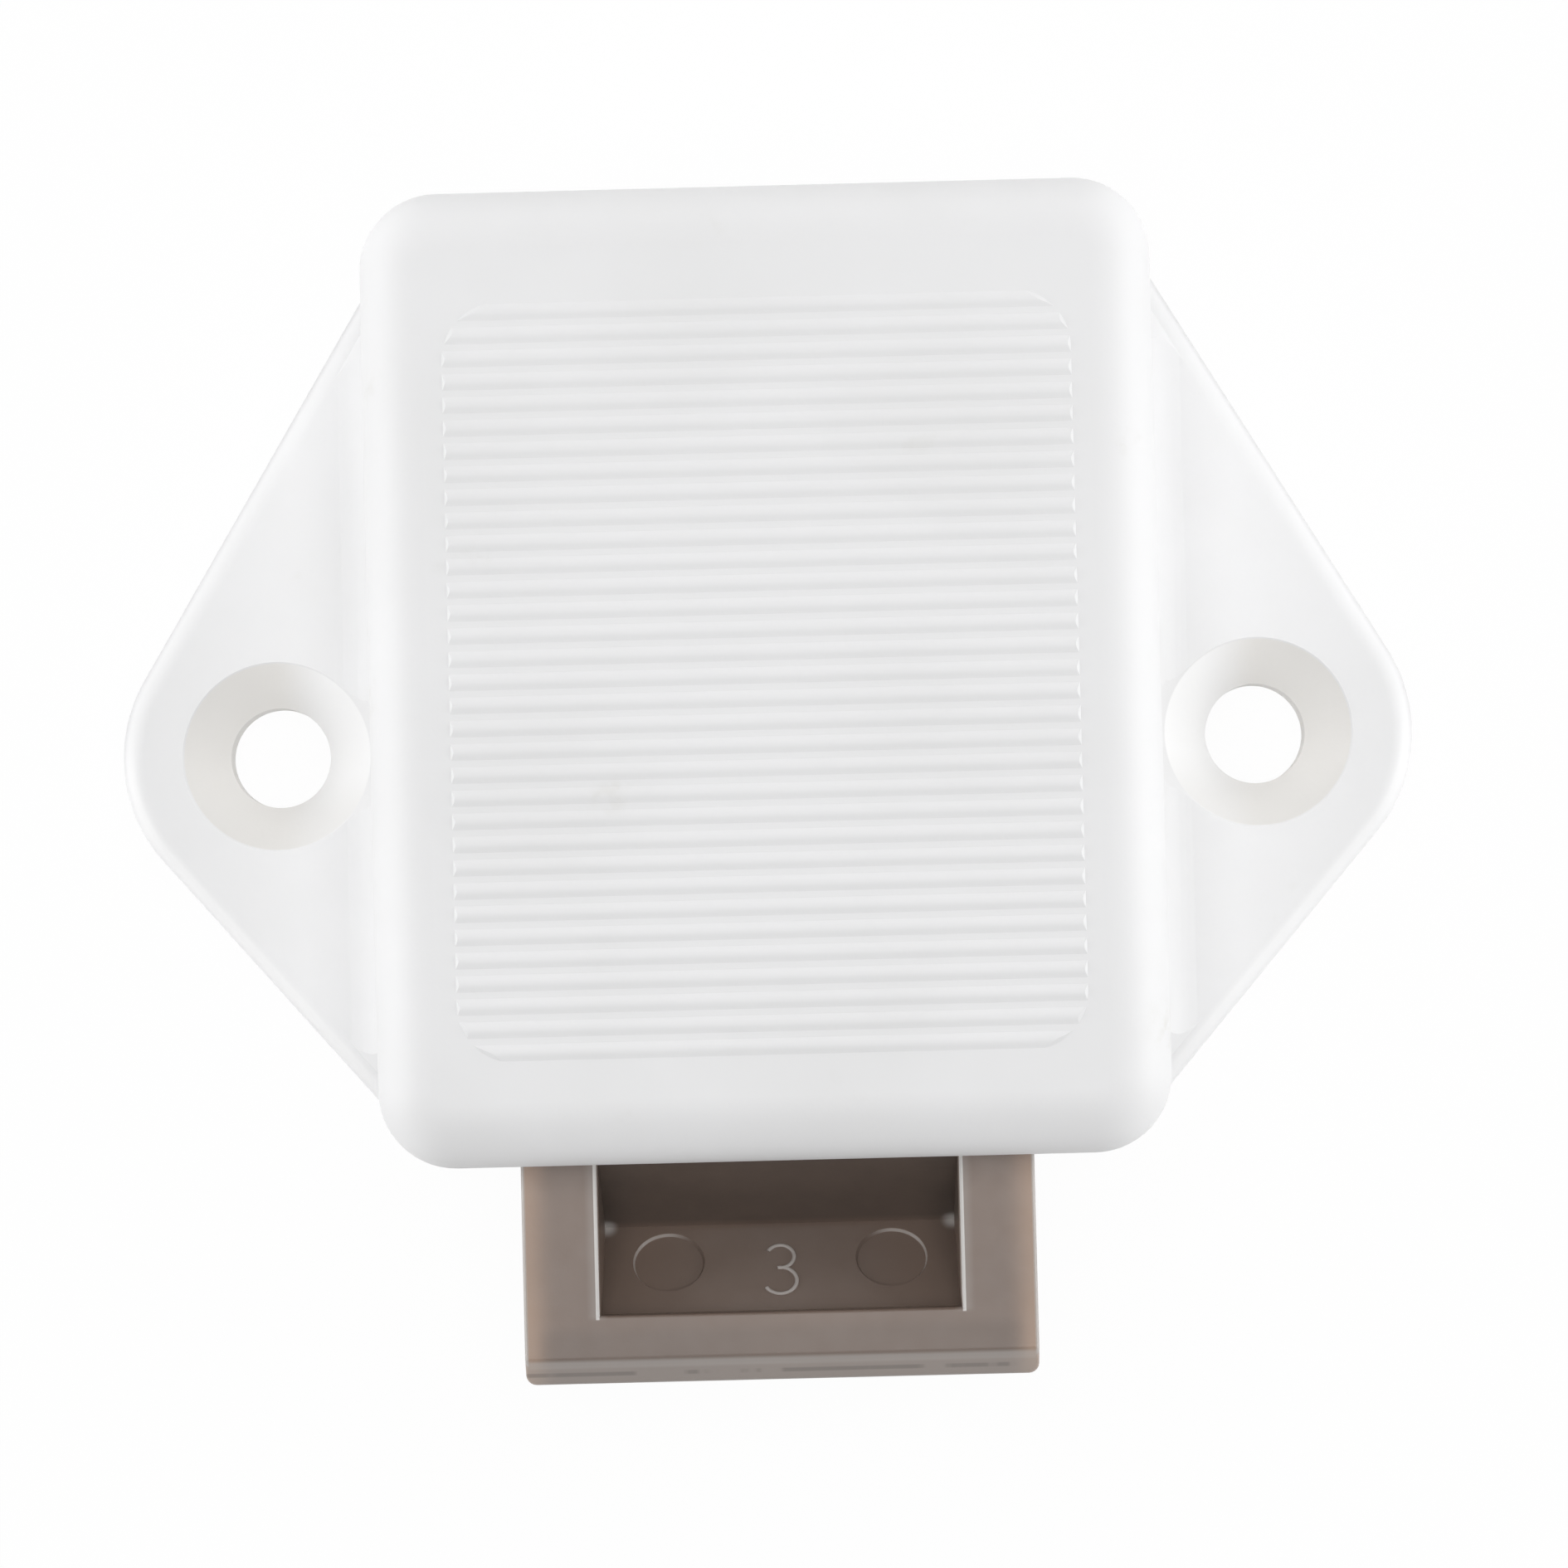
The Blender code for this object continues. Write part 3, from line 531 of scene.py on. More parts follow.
# %% Strike pocket
pocket_high = TONGUE_TOP + BEYOND
pocket_profile = {
    (1, 1): (POCKET_BACK + BEYOND / math.tan(STEEP), pocket_high),
    (1, -1): (POCKET_CREASE, TONGUE_TOP - POCKET_DEPTH),
    (-1, -1): (POCKET_END, TONGUE_TOP - LIP_DROP),
    (-1, 1): (POCKET_END, pocket_high),
}
pocket = block("pocket", (-POCKET_SIDE, -1, -1), (POCKET_SIDE, 1, 1))
for vert in pocket.data.vertices:
    vert.co.yz = pocket_profile[(round(vert.co.y), round(vert.co.z))]
    vert.co.x -= math.copysign((TONGUE_TOP - vert.co.z) * math.tan(DRAFT), vert.co.x)
carve(tongue, pocket)
print("tongue with pocket:", len(tongue.data.polygons), "faces")

# %% Small radius on the edges
EDGE_RADIUS, EDGE_STEPS, EDGE_ANGLE = 0.16 * MM, 3, math.radians(20)


def outer_edge(edge):
    """Convex edges in front of the face where the tongue's two halves join."""
    front = min(vert.co.y for vert in edge.verts) < TONGUE_JOIN - NEAR
    return front and edge.is_convex and edge.calc_face_angle(0) > EDGE_ANGLE


with editing(tongue, "EDGE"):
    pick(tongue, outer_edge)
    round_off(EDGE_RADIUS, EDGE_STEPS)
print("tongue with radii:", len(tongue.data.polygons), "faces")

# %% [markdown]
# Moulded parts carry the marks of their mould. The ramp of the pocket shows two round marks of the pins
# that push the moulding out, and a small raised cavity number. The number here is a plain 3, made of two
# rings that are each cut open on the left.

# %% Ejector marks on the ramp
MARK_X, MARK_SHARE, MARK_SIDES = 4.95 * MM, 0.42, 48
MARK_RADIUS, MARK_DEPTH, MARK_WALL = 1.6 * MM, 0.16 * MM, 0.1 * MM

ramp_cos, ramp_sin = math.cos(RAMP), math.sin(RAMP)
ramp_turn = Matrix(((1, 0, 0), (0, ramp_cos, ramp_sin), (0, -ramp_sin, ramp_cos)))


def on_ramp(out, share):
    """A point of the ramp: its distance from the middle, and its share of the way from crease to lip."""
    low = Vector((out, POCKET_CREASE, TONGUE_TOP - POCKET_DEPTH))
    high = Vector((out, POCKET_END, TONGUE_TOP - LIP_DROP))
    return low.lerp(high, share)


low_radius, high_radius = MARK_RADIUS - MARK_WALL, MARK_RADIUS + MARK_WALL
for side in (-1, 1):
    centre = on_ramp(side * MARK_X, MARK_SHARE)
    turn = ramp_turn.to_euler()
    carve(tongue, rod("mark", centre, low_radius, 2 * MARK_DEPTH, MARK_SIDES, turn, high_radius))
print("tongue with marks:", len(tongue.data.polygons), "faces")

# %% Cavity number on the ramp
NUMBER_SHARE, STROKE, STROKE_SIDES = 0.53, 0.1 * MM, 10
NUMBER_SWEEP, SWEEP_STEPS = math.radians(250), 24
# The radius of each ring, its rise above the middle of the number and the angle where it starts.
NUMBER_RINGS = ((0.62 * MM, 0.66 * MM, math.radians(150)), (0.72 * MM, -0.66 * MM, math.radians(100)))


def wire_end(name, radius, centre, sides, turn=(0, 0, 0)):
    """A circle of edges with its place in its mesh, ready to be wound into a wire."""
    bpy.ops.object.select_all(action="DESELECT")
    bpy.ops.mesh.primitive_circle_add(vertices=sides, radius=radius, location=centre, rotation=turn)
    bpy.ops.object.transform_apply(location=True, rotation=True, scale=True)
    bpy.context.object.name = name
    return bpy.context.object


def close_wire(wire):
    """Fill the two open ends of a wire and turn its faces outwards."""
    with editing(wire, "EDGE"):
        bpy.ops.mesh.select_non_manifold()
        bpy.ops.mesh.fill_holes(sides=0)
        bpy.ops.mesh.select_all(action="SELECT")
        bpy.ops.mesh.normals_make_consistent(inside=False)


number_place = Matrix.Translation(on_ramp(0, NUMBER_SHARE)) @ ramp_turn.to_4x4()
for radius, rise, start in NUMBER_RINGS:
    stroke = wire_end("stroke", STROKE, (radius, 0, 0), STROKE_SIDES, (math.pi / 2, 0, 0))
    with editing(stroke, "VERT"):
        bpy.ops.mesh.select_all(action="SELECT")
        bpy.ops.mesh.spin(steps=SWEEP_STEPS, angle=NUMBER_SWEEP, center=(0, 0, 0), axis=(0, 0, 1))
    close_wire(stroke)
    stroke_turn = Matrix.Rotation(start, 4, "Z")
    stroke.data.transform(number_place @ Matrix.Translation((0, rise, 0)) @ stroke_turn)
    carve(tongue, stroke, "UNION")
print("tongue with number:", len(tongue.data.polygons), "faces")

# %% Back of the tongue from the CAD solid
HAIRLINE, BRIDGE_HALF, BRIDGE_INSET = 0.02 * MM, 0.3 * MM, 0.8 * MM

back = merged_copy("tongue")
with editing(back, "FACE"):
    bpy.ops.mesh.select_all(action="SELECT")
    cut = (0, TONGUE_JOIN + HAIRLINE, 0)
    bpy.ops.mesh.bisect(plane_co=cut, plane_no=(0, 1, 0), clear_inner=True, use_fill=True)
bridge_side = TONGUE_SIDE - BRIDGE_INSET
bridge = block(
    "bridge",
    (-bridge_side, TONGUE_JOIN - BRIDGE_HALF, TONGUE_LOW + BRIDGE_INSET),
    (bridge_side, TONGUE_JOIN + BRIDGE_HALF, TONGUE_TOP - BRIDGE_INSET),
)
carve(tongue, bridge, "UNION")
carve(tongue, back, "UNION")
print("tongue with its back:", len(tongue.data.polygons), "faces")

# %% Smooth tongue with crisp marks and number
ramp_normal = ramp_turn @ Vector((0, 0, 1))
ramp_level = ramp_normal.dot(on_ramp(0, 0))


def in_ramp(face):
    """Whether a face lies in the plane of the ramp."""
    return all(near(vert.co.dot(ramp_normal), ramp_level) for vert in face.verts)


mark_border(tongue, in_ramp)
smooth(tongue)
print("tongue:", len(tongue.data.polygons), "faces")

# %% [markdown]
# ## The back plate and its screws
# A flat plate closes the back of the case, held by four small self-tapping screws in counterbored holes.
# The screw is modelled once, from a disc that is inset and pulled out into a shank and a point, and copied.

# %% Back plate
PLATE_CORNER, PLATE_CORNER_STEPS = 2.2 * MM, 8
PLATE_EDGE, PLATE_EDGE_STEPS = 0.2 * MM, 2
SHANK_HOLE, HEAD_HOLE, HEAD_SEAT = 1.15 * MM, 2.0 * MM, 1.2 * MM
SCREW_NUMBERS, SCREW_SIDES = range(1, 5), 40

plate_low, plate_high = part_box("base_plate")
plate = block("back_plate", plate_low, plate_high)
with editing(plate, "EDGE"):
    pick(plate, upright_edge)
    round_off(PLATE_CORNER, PLATE_CORNER_STEPS)
    pick(plate, lambda edge: level_edge(plate_low.z)(edge) or level_edge(plate_high.z)(edge))
    round_off(PLATE_EDGE, PLATE_EDGE_STEPS)
screw_places = []
for number in SCREW_NUMBERS:
    low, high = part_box(f"base_screw_{number}")
    screw_places.append(((low + high) / 2).xy)
for x, y in screw_places:
    centre = (x, y, HEAD_SEAT / 2 - BEYOND / 2)
    drill = rod("drill", centre, HEAD_HOLE, HEAD_SEAT + BEYOND, SCREW_SIDES)
    with editing(drill, "FACE"):
        pick(drill, faces_up)
        bpy.ops.mesh.inset(thickness=HEAD_HOLE - SHANK_HOLE)
        pull_up(2 * BEYOND)
    carve(plate, drill)
smooth(plate)
print("plate:", len(plate.data.polygons), "faces")

# %% Plate screws
HEAD_RADIUS, HEAD_THICK, HEAD_EDGE, HEAD_STEPS = 1.7 * MM, 0.8 * MM, 0.2 * MM, 4
SHANK_RADIUS, POINT, POINT_SHARE = 0.85 * MM, 1.2 * MM, 0.06
SLOT_LONG, SLOT_WIDE, SLOT_DEEP = 1.0 * MM, 0.26 * MM, 0.45 * MM

screw_low, screw_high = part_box("base_screw_1")
centre = (0, 0, screw_low.z + HEAD_THICK / 2)
screw = rod("plate_screw", centre, HEAD_RADIUS, HEAD_THICK, SCREW_SIDES)
with editing(screw, "FACE"):
    pick(screw, faces_up)
    bpy.ops.mesh.inset(thickness=HEAD_RADIUS - SHANK_RADIUS)
    head_top = screw_low.z + HEAD_THICK
    pull_up(screw_high.z - POINT - head_top)
    pull_up(POINT)
    point_size = (POINT_SHARE, POINT_SHARE, 1)
    bpy.ops.transform.resize(value=point_size, center_override=(0, 0, screw_high.z))
    bpy.ops.mesh.select_mode(type="EDGE")
    pick(screw, level_edge(screw_low.z))
    round_off(HEAD_EDGE, HEAD_STEPS)
slot_low, slot_high = screw_low.z - BEYOND, screw_low.z + SLOT_DEEP
for long, wide in ((SLOT_LONG, SLOT_WIDE), (SLOT_WIDE, SLOT_LONG)):
    carve(screw, block("slot", (-long, -wide, slot_low), (long, wide, slot_high)))
smooth(screw)
screws = []
for number, (x, y) in zip(SCREW_NUMBERS, screw_places):
    copy = bpy.data.objects.new(f"plate_screw_{number}", screw.data.copy())
    bpy.context.scene.collection.objects.link(copy)
    copy.data.transform(Matrix.Translation((x, y, 0)))
    screws.append(copy)
bpy.data.objects.remove(screw)
print("screws:", len(screws), "of", len(screws[0].data.polygons), "faces")

# %% [markdown]
# ## The coil springs
# Two compression springs push the tongue out. A small circle and the Screw modifier wind the wire. Real
# springs have closed ends, so the first and last turns are then moved together, ring by ring, along the
# axis.

# %% Coil springs with closed ends
COIL_RADIUS, TURNS, COIL_STEPS = 2.1 * MM, 11, 32
WIRE_RADIUS, WIRE_SIDES = 0.2 * MM, 12
WOUND_PITCH, CLOSED_PITCH = MM, 2.1 * WIRE_RADIUS


def along_coil(turns, open_pitch):
    """How far along the axis the wire is after this many turns, of which the first and last are closed."""
    closed = min(turns, 1) + max(turns - TURNS + 1, 0)
    return CLOSED_PITCH * closed + open_pitch * min(max(turns - 1, 0), TURNS - 2)


springs = {}
for node in ("spring_left", "spring_right"):
    low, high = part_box(node)
    axis = (low + high) / 2
    start, end = low.y + WIRE_RADIUS, high.y - WIRE_RADIUS
    coil = wire_end("coil_" + node, WIRE_RADIUS, (COIL_RADIUS, 0, 0), WIRE_SIDES)
    apply_modifier(
        coil,
        "SCREW",
        axis="Y",
        angle=2 * math.pi,
        screw_offset=WOUND_PITCH,
        iterations=TURNS,
        steps=COIL_STEPS,
        render_steps=COIL_STEPS,
        use_merge_vertices=False,
    )
    open_pitch = (end - start - 2 * CLOSED_PITCH) / (TURNS - 2)
    for index, vert in enumerate(coil.data.vertices):
        turns = (index // WIRE_SIDES) / COIL_STEPS
        way = along_coil(turns, open_pitch)
        vert.co += Vector((axis.x, start + way - turns * WOUND_PITCH, axis.z))
    close_wire(coil)
    smooth(coil)
    springs[node] = coil
    print(coil.name + ":", len(coil.data.polygons), "faces")

# %% [markdown]
# ## Finishes
# Every finish of the object is a Principled shader whose colour and roughness, and on the plastics also the
# bump, come from procedural nodes. Writing node sums by hand is long, so one small class wraps a socket:
# adding or multiplying two of them adds a Math node.

# %% A socket that can be used in sums
MM_PER_METRE = 1000.0
GRAIN_DEPTH = 0.05 * MM


class Value:
    """A node socket in a material, with the operators that add Math nodes."""

    def __init__(self, tree, socket):
        self.tree, self.socket = tree, socket

    def node(self, kind, settings=None, sockets=None, output=0):
        """Add any node: first its settings, then the values or links of its sockets."""
        made = self.tree.nodes.new(kind)
        for key, value in (settings or {}).items():
            setattr(made, key, value)
        for key, value in (sockets or {}).items():
            if isinstance(value, Value):
                self.tree.links.new(value.socket, made.inputs[key])
            else:
                made.inputs[key].default_value = value
        return Value(self.tree, made.outputs[output])

    def math(self, operation, first, second):
        """Add a Math node on two values or numbers."""
        return self.node("ShaderNodeMath", {"operation": operation}, {0: first, 1: second})

    def __add__(self, other):
        return self.math("ADD", self, other)

    __radd__ = __add__

    def __mul__(self, other):
        return self.math("MULTIPLY", self, other)

    __rmul__ = __mul__

    def __sub__(self, other):
        return self.math("SUBTRACT", self, other)

    def __rsub__(self, other):
        return self.math("SUBTRACT", other, self)

    def step(self, low, high):
        """A smooth step from 0 at low to 1 at high."""
        sockets = {"Value": self, "From Min": low, "From Max": high}
        return self.node("ShaderNodeMapRange", {"interpolation_type": "SMOOTHSTEP"}, sockets)

    def between(self, low, high, soft):
        """1 where this value lies between two limits, falling to 0 over a soft edge."""
        return self.step(low - soft, low) * (1 - self.step(high, high + soft))

    def blend(self, below, over, share=1):
        """A colour between two colours: this value, times a share, is how much of the second it has."""
        part = self if share == 1 else self * share
        return self.node("ShaderNodeMix", {"data_type": "RGBA"}, {0: part, 6: below, 7: over}, 2)

    def magnitude(self):
        """This value without its sign."""
        return self.math("ABSOLUTE", self, 0.0)

    def in_mm(self):
        """The coordinates of a place in millimetres: distance from the middle plane, along and up."""
        parts = [self.node("ShaderNodeSeparateXYZ", None, {0: self}, axis) for axis in range(3)]
        x, y, z = (part * MM_PER_METRE for part in parts)
        return x.magnitude(), y, z

    def noise(self, scale, detail=2.0, stretch=None):
        """Noise on a vector, with this many features to the metre."""
        place = self
        if stretch:
            place = self.node("ShaderNodeVectorMath", {"operation": "MULTIPLY"}, {0: self, 1: stretch})
        return self.node("ShaderNodeTexNoise", None, {"Vector": place, "Scale": scale, "Detail": detail})

    def grain(self, scale, strength):
        """A normal bent by a fine moulded grain."""
        sockets = {"Strength": strength, "Distance": GRAIN_DEPTH, "Height": self.noise(scale)}
        return self.node("ShaderNodeBump", None, sockets)


# %% Helpers for materials
def socket_name(key):
    """The name of a shader's socket for a Python keyword."""
    return key.replace("_", " ").title()


def new_finish(name, **constants):
    """A Principled material: gives the material, its shader and its object coordinates."""
    material = bpy.data.materials.new(name)
    material.use_nodes = True
    tree = material.node_tree
    shader = tree.nodes["Principled BSDF"]
    for key, value in constants.items():
        shader.inputs[socket_name(key)].default_value = value
    place = Value(tree, tree.nodes.new("ShaderNodeTexCoord").outputs["Object"])
    return material, shader, place


def feed(shader, **values):
    """Link values to the shader's sockets."""
    for key, value in values.items():
        value.tree.links.new(value.socket, shader.inputs[socket_name(key)])


def describe(material):
    """Print how many nodes a material has so far."""
    print(material.name + ":", len(material.node_tree.nodes), "nodes")


# %% [markdown]
# The case is satin white plastic. Up close it is never one flat white: the colour drifts a little, and a
# few faint smudges and grey specks of dirt sit on it. Noise gives the drift and the smudges. A Voronoi
# pattern gives the specks: one sits in the middle of each of the few cells whose random colour is high.

# %% White plastic: drift, smudges and specks
WHITE, WHITE_SHADE = (0.845, 0.845, 0.85, 1), (0.82, 0.82, 0.823, 1)
SMUDGE, SPECK_GREY = (0.76, 0.755, 0.735, 1), (0.45, 0.44, 0.42, 1)
WHITE_SPECULAR, SPECK_SCALE = 0.35, 260.0

white_plastic, shader, place = new_finish("white_plastic")
shader.inputs["Specular IOR Level"].default_value = WHITE_SPECULAR
colour = place.noise(90.0, 3.0).step(0.35, 0.7).blend(WHITE, WHITE_SHADE)
smudge = place.noise(210.0, 4.0).step(0.66, 0.8) * place.noise(1500.0, 3.0).step(0.35, 0.7)
colour = smudge.blend(colour, SMUDGE)
cells = {"Vector": place, "Scale": SPECK_SCALE}
from_middle = place.node("ShaderNodeTexVoronoi", None, cells, "Distance")
lot = place.node("ShaderNodeTexVoronoi", None, cells, "Color")
lot = place.node("ShaderNodeSeparateColor", None, {"Color": lot})
speck = (1 - from_middle.step(0.02, 0.06)) * lot.step(0.88, 0.9)
colour = speck.blend(colour, SPECK_GREY, share=0.45)
describe(white_plastic)

# %% [markdown]
# The lamps alone don't give all of the light and shade on the case, so some is painted into the colour. Each
# countersink is painted a little darker and warmer on its outer half as shade, paler towards the case as
# painted light, and darker at the front as painted shade. The upright edges of the ears carry painted shade
# on the half towards the back and painted light on the half towards the tongue. Each painted mark is a mask
# made from the place on the piece, in millimetres.

# %% White plastic: painted shade and light on the countersinks and the ears' edges
SINK_WARM_SHADE, PAINTED_LIGHT_PALE = (0.82, 0.805, 0.78, 1), (0.93, 0.93, 0.93, 1)
SINK_PAINTED_SHADE, EDGE_PAINTED_SHADE = (0.72, 0.71, 0.69, 1), (0.72, 0.72, 0.725, 1)
SHADE_UP_TO, LIGHT_UP_TO = (3.3, 3.75), (3.85, 3.99)
FRONT_SHADE = 0.3

across, along, up = place.in_mm()
case_side, hole_x, sink_radius, ear_top = (size / MM for size in (CASE_SIDE, HOLE_X, SINK, EAR_TOP))
from_hole = across - hole_x
from_hole = place.math("SQRT", from_hole * from_hole + along * along, 0.0)
sink = 1 - from_hole.step(sink_radius - 0.1, sink_radius + 0.02)
sink = sink * (1 - up.step(ear_top - 0.1, ear_top))
outer = across.step(hole_x - 2.8, hole_x + 0.2)
# painted shade, a little warm, on the outer half of each countersink
colour = (sink * outer).blend(colour, SINK_WARM_SHADE)
# painted light on the half of each countersink towards the case
colour = (sink * (1 - outer)).blend(colour, PAINTED_LIGHT_PALE)
# painted shade at the front of each countersink
colour = (sink * (1 - along.step(-3.4, -0.5))).blend(colour, SINK_PAINTED_SHADE, share=0.5)

on_ear = across.step(case_side + 0.05, case_side + 0.3)
on_ear = on_ear * from_hole.step(sink_radius + 0.6, sink_radius + 1.0)
back_half = along.step(-2.0, 2.0)
# painted light on the front half of the ears' upright edges
painted_light_edge = on_ear * (1 - back_half) * (1 - up.step(*LIGHT_UP_TO))
colour = painted_light_edge.blend(colour, PAINTED_LIGHT_PALE, share=0.6)
# painted shade on the ears' upright edges, strongest on the back half
painted_shade_edge = on_ear * (1 - up.step(*SHADE_UP_TO)) * (FRONT_SHADE + (1 - FRONT_SHADE) * back_half)
colour = painted_shade_edge.blend(colour, EDGE_PAINTED_SHADE)
feed(shader, base_color=colour, roughness=0.5 + 0.12 * place.noise(700.0, 3.0))
feed(shader, normal=place.grain(5200.0, 0.06))
describe(white_plastic)

# %% [markdown]
# The tongue is a harder, grey-brown plastic. It lets a little light through, so it is warmer and lighter
# towards its thin outer edges, and it is a little greyed around the pocket. As on the case, each of these
# is a mask made from the place on the piece.

# %% Grey-brown plastic: base and thin edges
TAUPE, TAUPE_DARK = (0.172, 0.124, 0.098, 1), (0.157, 0.113, 0.09, 1)
WARM_EDGE, DIRT_AND_SHADE = (0.34, 0.235, 0.172, 1), (0.05, 0.04, 0.034, 1)
PALE, PALE_GREY = (0.62, 0.6, 0.58, 1), (0.47, 0.455, 0.44, 1)
INSIDE_MOUTH = (-18.2, -17.6)

brown_plastic, shader, place = new_finish("brown_plastic")
across, along, up = place.in_mm()
top, flank, pocket_side = TONGUE_TOP / MM, TONGUE_SIDE / MM, POCKET_SIDE / MM
crease, end = POCKET_CREASE / MM, POCKET_END / MM
shows = 1 - along.step(*INSIDE_MOUTH)
colour = place.noise(160.0, 3.0).step(0.3, 0.72).blend(TAUPE, TAUPE_DARK)
thin = across.step(flank - 1.9, flank - 0.1) * up.step(top - 2.4, top - 1.2) * shows
colour = (thin * thin * (0.55 + 0.7 * place.noise(300.0))).blend(colour, WARM_EDGE)
around = across.between(pocket_side, pocket_side + 0.15, 0.45) * up.step(top - 0.3, top - 0.1) * shows
colour = (around * along.step(end - 0.3, end)).blend(colour, PALE_GREY, share=0.2)
describe(brown_plastic)

# %% [markdown]
# Dirt gathers where the strike rubs and nobody wipes: a dark band on the lip. The pocket is darkened with
# painted shade, most of all on its steep face and along its side walls, and the middle of its ramp carries a
# thin grey painted sheen.

# %% Grey-brown plastic: lip dirt, and painted shade and sheen in the pocket
RAMP_SHADE, STEEP_SHADE, WALL_SHADE = 0.03, 0.44, 0.2

brow = TONGUE_TIP / MM + NOSE / MM
lip = along.between(brow + 0.15, brow + 0.9, 0.8) * (1 - across.step(flank - 1.2, flank - 0.4))
colour = (lip * up.step(top - 0.3, top - 0.2)).blend(colour, DIRT_AND_SHADE, share=0.24)

pocket_low = (TONGUE_TOP - POCKET_DEPTH) / MM
inside = (1 - across.step(pocket_side - 0.1, pocket_side)) * along.step(end - 0.02, end + 0.05) * shows
inside = inside * (1 - up.step(top - 0.25, top - 0.1)) * up.step(pocket_low - 0.15, pocket_low - 0.05)
# painted shade in the pocket, patchy, darkest on the steep face and along the side walls
pocket_shade = RAMP_SHADE + STEEP_SHADE * along.step(crease - 0.05, crease + 0.3)
pocket_shade = pocket_shade + WALL_SHADE * across.step(5.6, pocket_side - 0.2)
colour = (inside * pocket_shade * (0.75 + 0.5 * place.noise(700.0, 3.0))).blend(colour, DIRT_AND_SHADE)
# painted sheen: the middle of the ramp paler and greyer
painted_sheen = inside * (1 - along.step(crease - 0.3, crease)) * (1 - across.step(1.5, 7.0))
colour = (painted_sheen * (0.03 + 0.1 * place.noise(600.0, 4.0))).blend(colour, PALE_GREY)
describe(brown_plastic)

# %% [markdown]
# The raised number and the rims of the round marks carry painted highlights, the rims most on their upper
# outer side. Both leave the plane of the ramp, so their masks read the height above that plane. The two
# lower corners of the pocket carry pale spots of painted highlight, masked by the distance from each corner.
# Absolute coordinates fold the two corners into one.

# %% Grey-brown plastic: painted highlights on the number, the marks and the corners of the pocket
SPOT_INSET, SPOT_RISE = 0.3 * MM, 0.1 * MM

above_ramp = along * ramp_sin + up * ramp_cos
above_ramp = above_ramp - (crease * ramp_sin + pocket_low * ramp_cos)
on_face = inside * along.between(end + 0.25, crease - 0.3, 0.1)
# painted highlight on the raised number
raised = above_ramp.step(0.03, 0.07) * (1 - across.step(1.0, 1.2)) * on_face
colour = raised.blend(colour, PALE, share=0.48)
mark_y = on_ramp(0, MARK_SHARE).y / MM
# painted highlight on the rims of the marks, brightest on their upper outer side
rim = above_ramp.between(-0.13, -0.03, 0.02) * on_face
rim = rim * (across - MARK_X / MM + along - mark_y).step(-0.4, 1.4)
colour = rim.blend(colour, PALE, share=0.35)
# painted highlight spots at the two lower corners of the pocket
folded = place.node("ShaderNodeVectorMath", {"operation": "ABSOLUTE"}, {0: place})
corner = (POCKET_SIDE - SPOT_INSET, -POCKET_CREASE, TONGUE_TOP - POCKET_DEPTH + SPOT_RISE)
ends = {0: folded, 1: corner}
from_corner = place.node("ShaderNodeVectorMath", {"operation": "DISTANCE"}, ends, "Value") * MM_PER_METRE
colour = (1 - from_corner.step(0.05, 0.6)).blend(colour, PALE, share=0.6)
describe(brown_plastic)

# %% [markdown]
# Sharp edges carry painted highlights: a thin line of flash along the pocket, the outer edges and the crest
# of the nose. The nose itself is painted paler, partly with wear and partly with painted light. Sliding past
# the strike has left dark streaks on the nose, which are noise stretched along it.

# %% Grey-brown plastic: painted highlights on the edges and the nose, and streaks
STREAK_STRETCH = (0.6, 0.05, 0.05)

# painted highlight along the thin line of flash at the pocket's edges
flash = across.between(pocket_side, pocket_side + 0.12, 0.03) * up.step(top - 0.13, top - 0.09)
colour = (flash * along.step(end - 0.22, end - 0.15) * shows).blend(colour, PALE)
# painted highlight along the outer top edges
edge_highlight = across.step(flank - 0.2, flank - 0.08) * up.step(top - 0.3, top - 0.15) * shows
colour = edge_highlight.blend(colour, PALE_GREY, share=0.8)
# painted highlight along the crest of the nose
crest = along.between(brow - 0.3, brow - 0.05, 0.2) * up.step(top - 0.5, top - 0.3)
colour = crest.blend(colour, PALE, share=0.12)
# the nose painted paler: partly wear, partly painted light
nose = 1 - along.step(brow - 0.15, brow + 0.05)
colour = nose.blend(colour, PALE, share=0.24)
streak = place.noise(900.0, 3.0, STREAK_STRETCH).step(0.43, 0.54)
streak = along.between(brow - 0.7, brow - 0.6, 0.08) * streak
colour = streak.blend(colour, DIRT_AND_SHADE, share=0.4)
feed(shader, base_color=colour, roughness=0.3 + 0.14 * place.noise(900.0, 3.0))
feed(shader, normal=place.grain(4200.0, 0.1))
describe(brown_plastic)

# %% [markdown]
# The springs, the follower wire and its leaf are drawn steel, and the screws are zinc plated: metals, with
# fine streaks in their colour and roughness.

# %% Steel finishes
STEEL, STEEL_DARK = (0.62, 0.62, 0.63, 1), (0.5, 0.5, 0.51, 1)
ZINC, ZINC_DARK = (0.66, 0.665, 0.68, 1), (0.52, 0.52, 0.53, 1)

metals = {}
for name, bright, dark, stretch in (
    ("spring_steel", STEEL, STEEL_DARK, (1, 0.2, 1)),
    ("screw_steel", ZINC, ZINC_DARK, (1, 1, 0.3)),
):
    metals[name], shader, place = new_finish(name, metallic=1.0)
    streak = place.noise(2400.0, 3.0, stretch)
    feed(shader, base_color=streak.step(0.3, 0.8).blend(bright, dark), roughness=0.22 + 0.18 * streak)
    describe(metals[name])

# %% [markdown]
# ## Joining the pieces to the model
# Each new piece rides on the body that its CAD node belongs to, and stands for that node. The springs stay
# with the case. The wire and its leaf keep their CAD shapes.

# %% Ride, replace and give the finishes
SPRING_BACK = 22.25 * MM


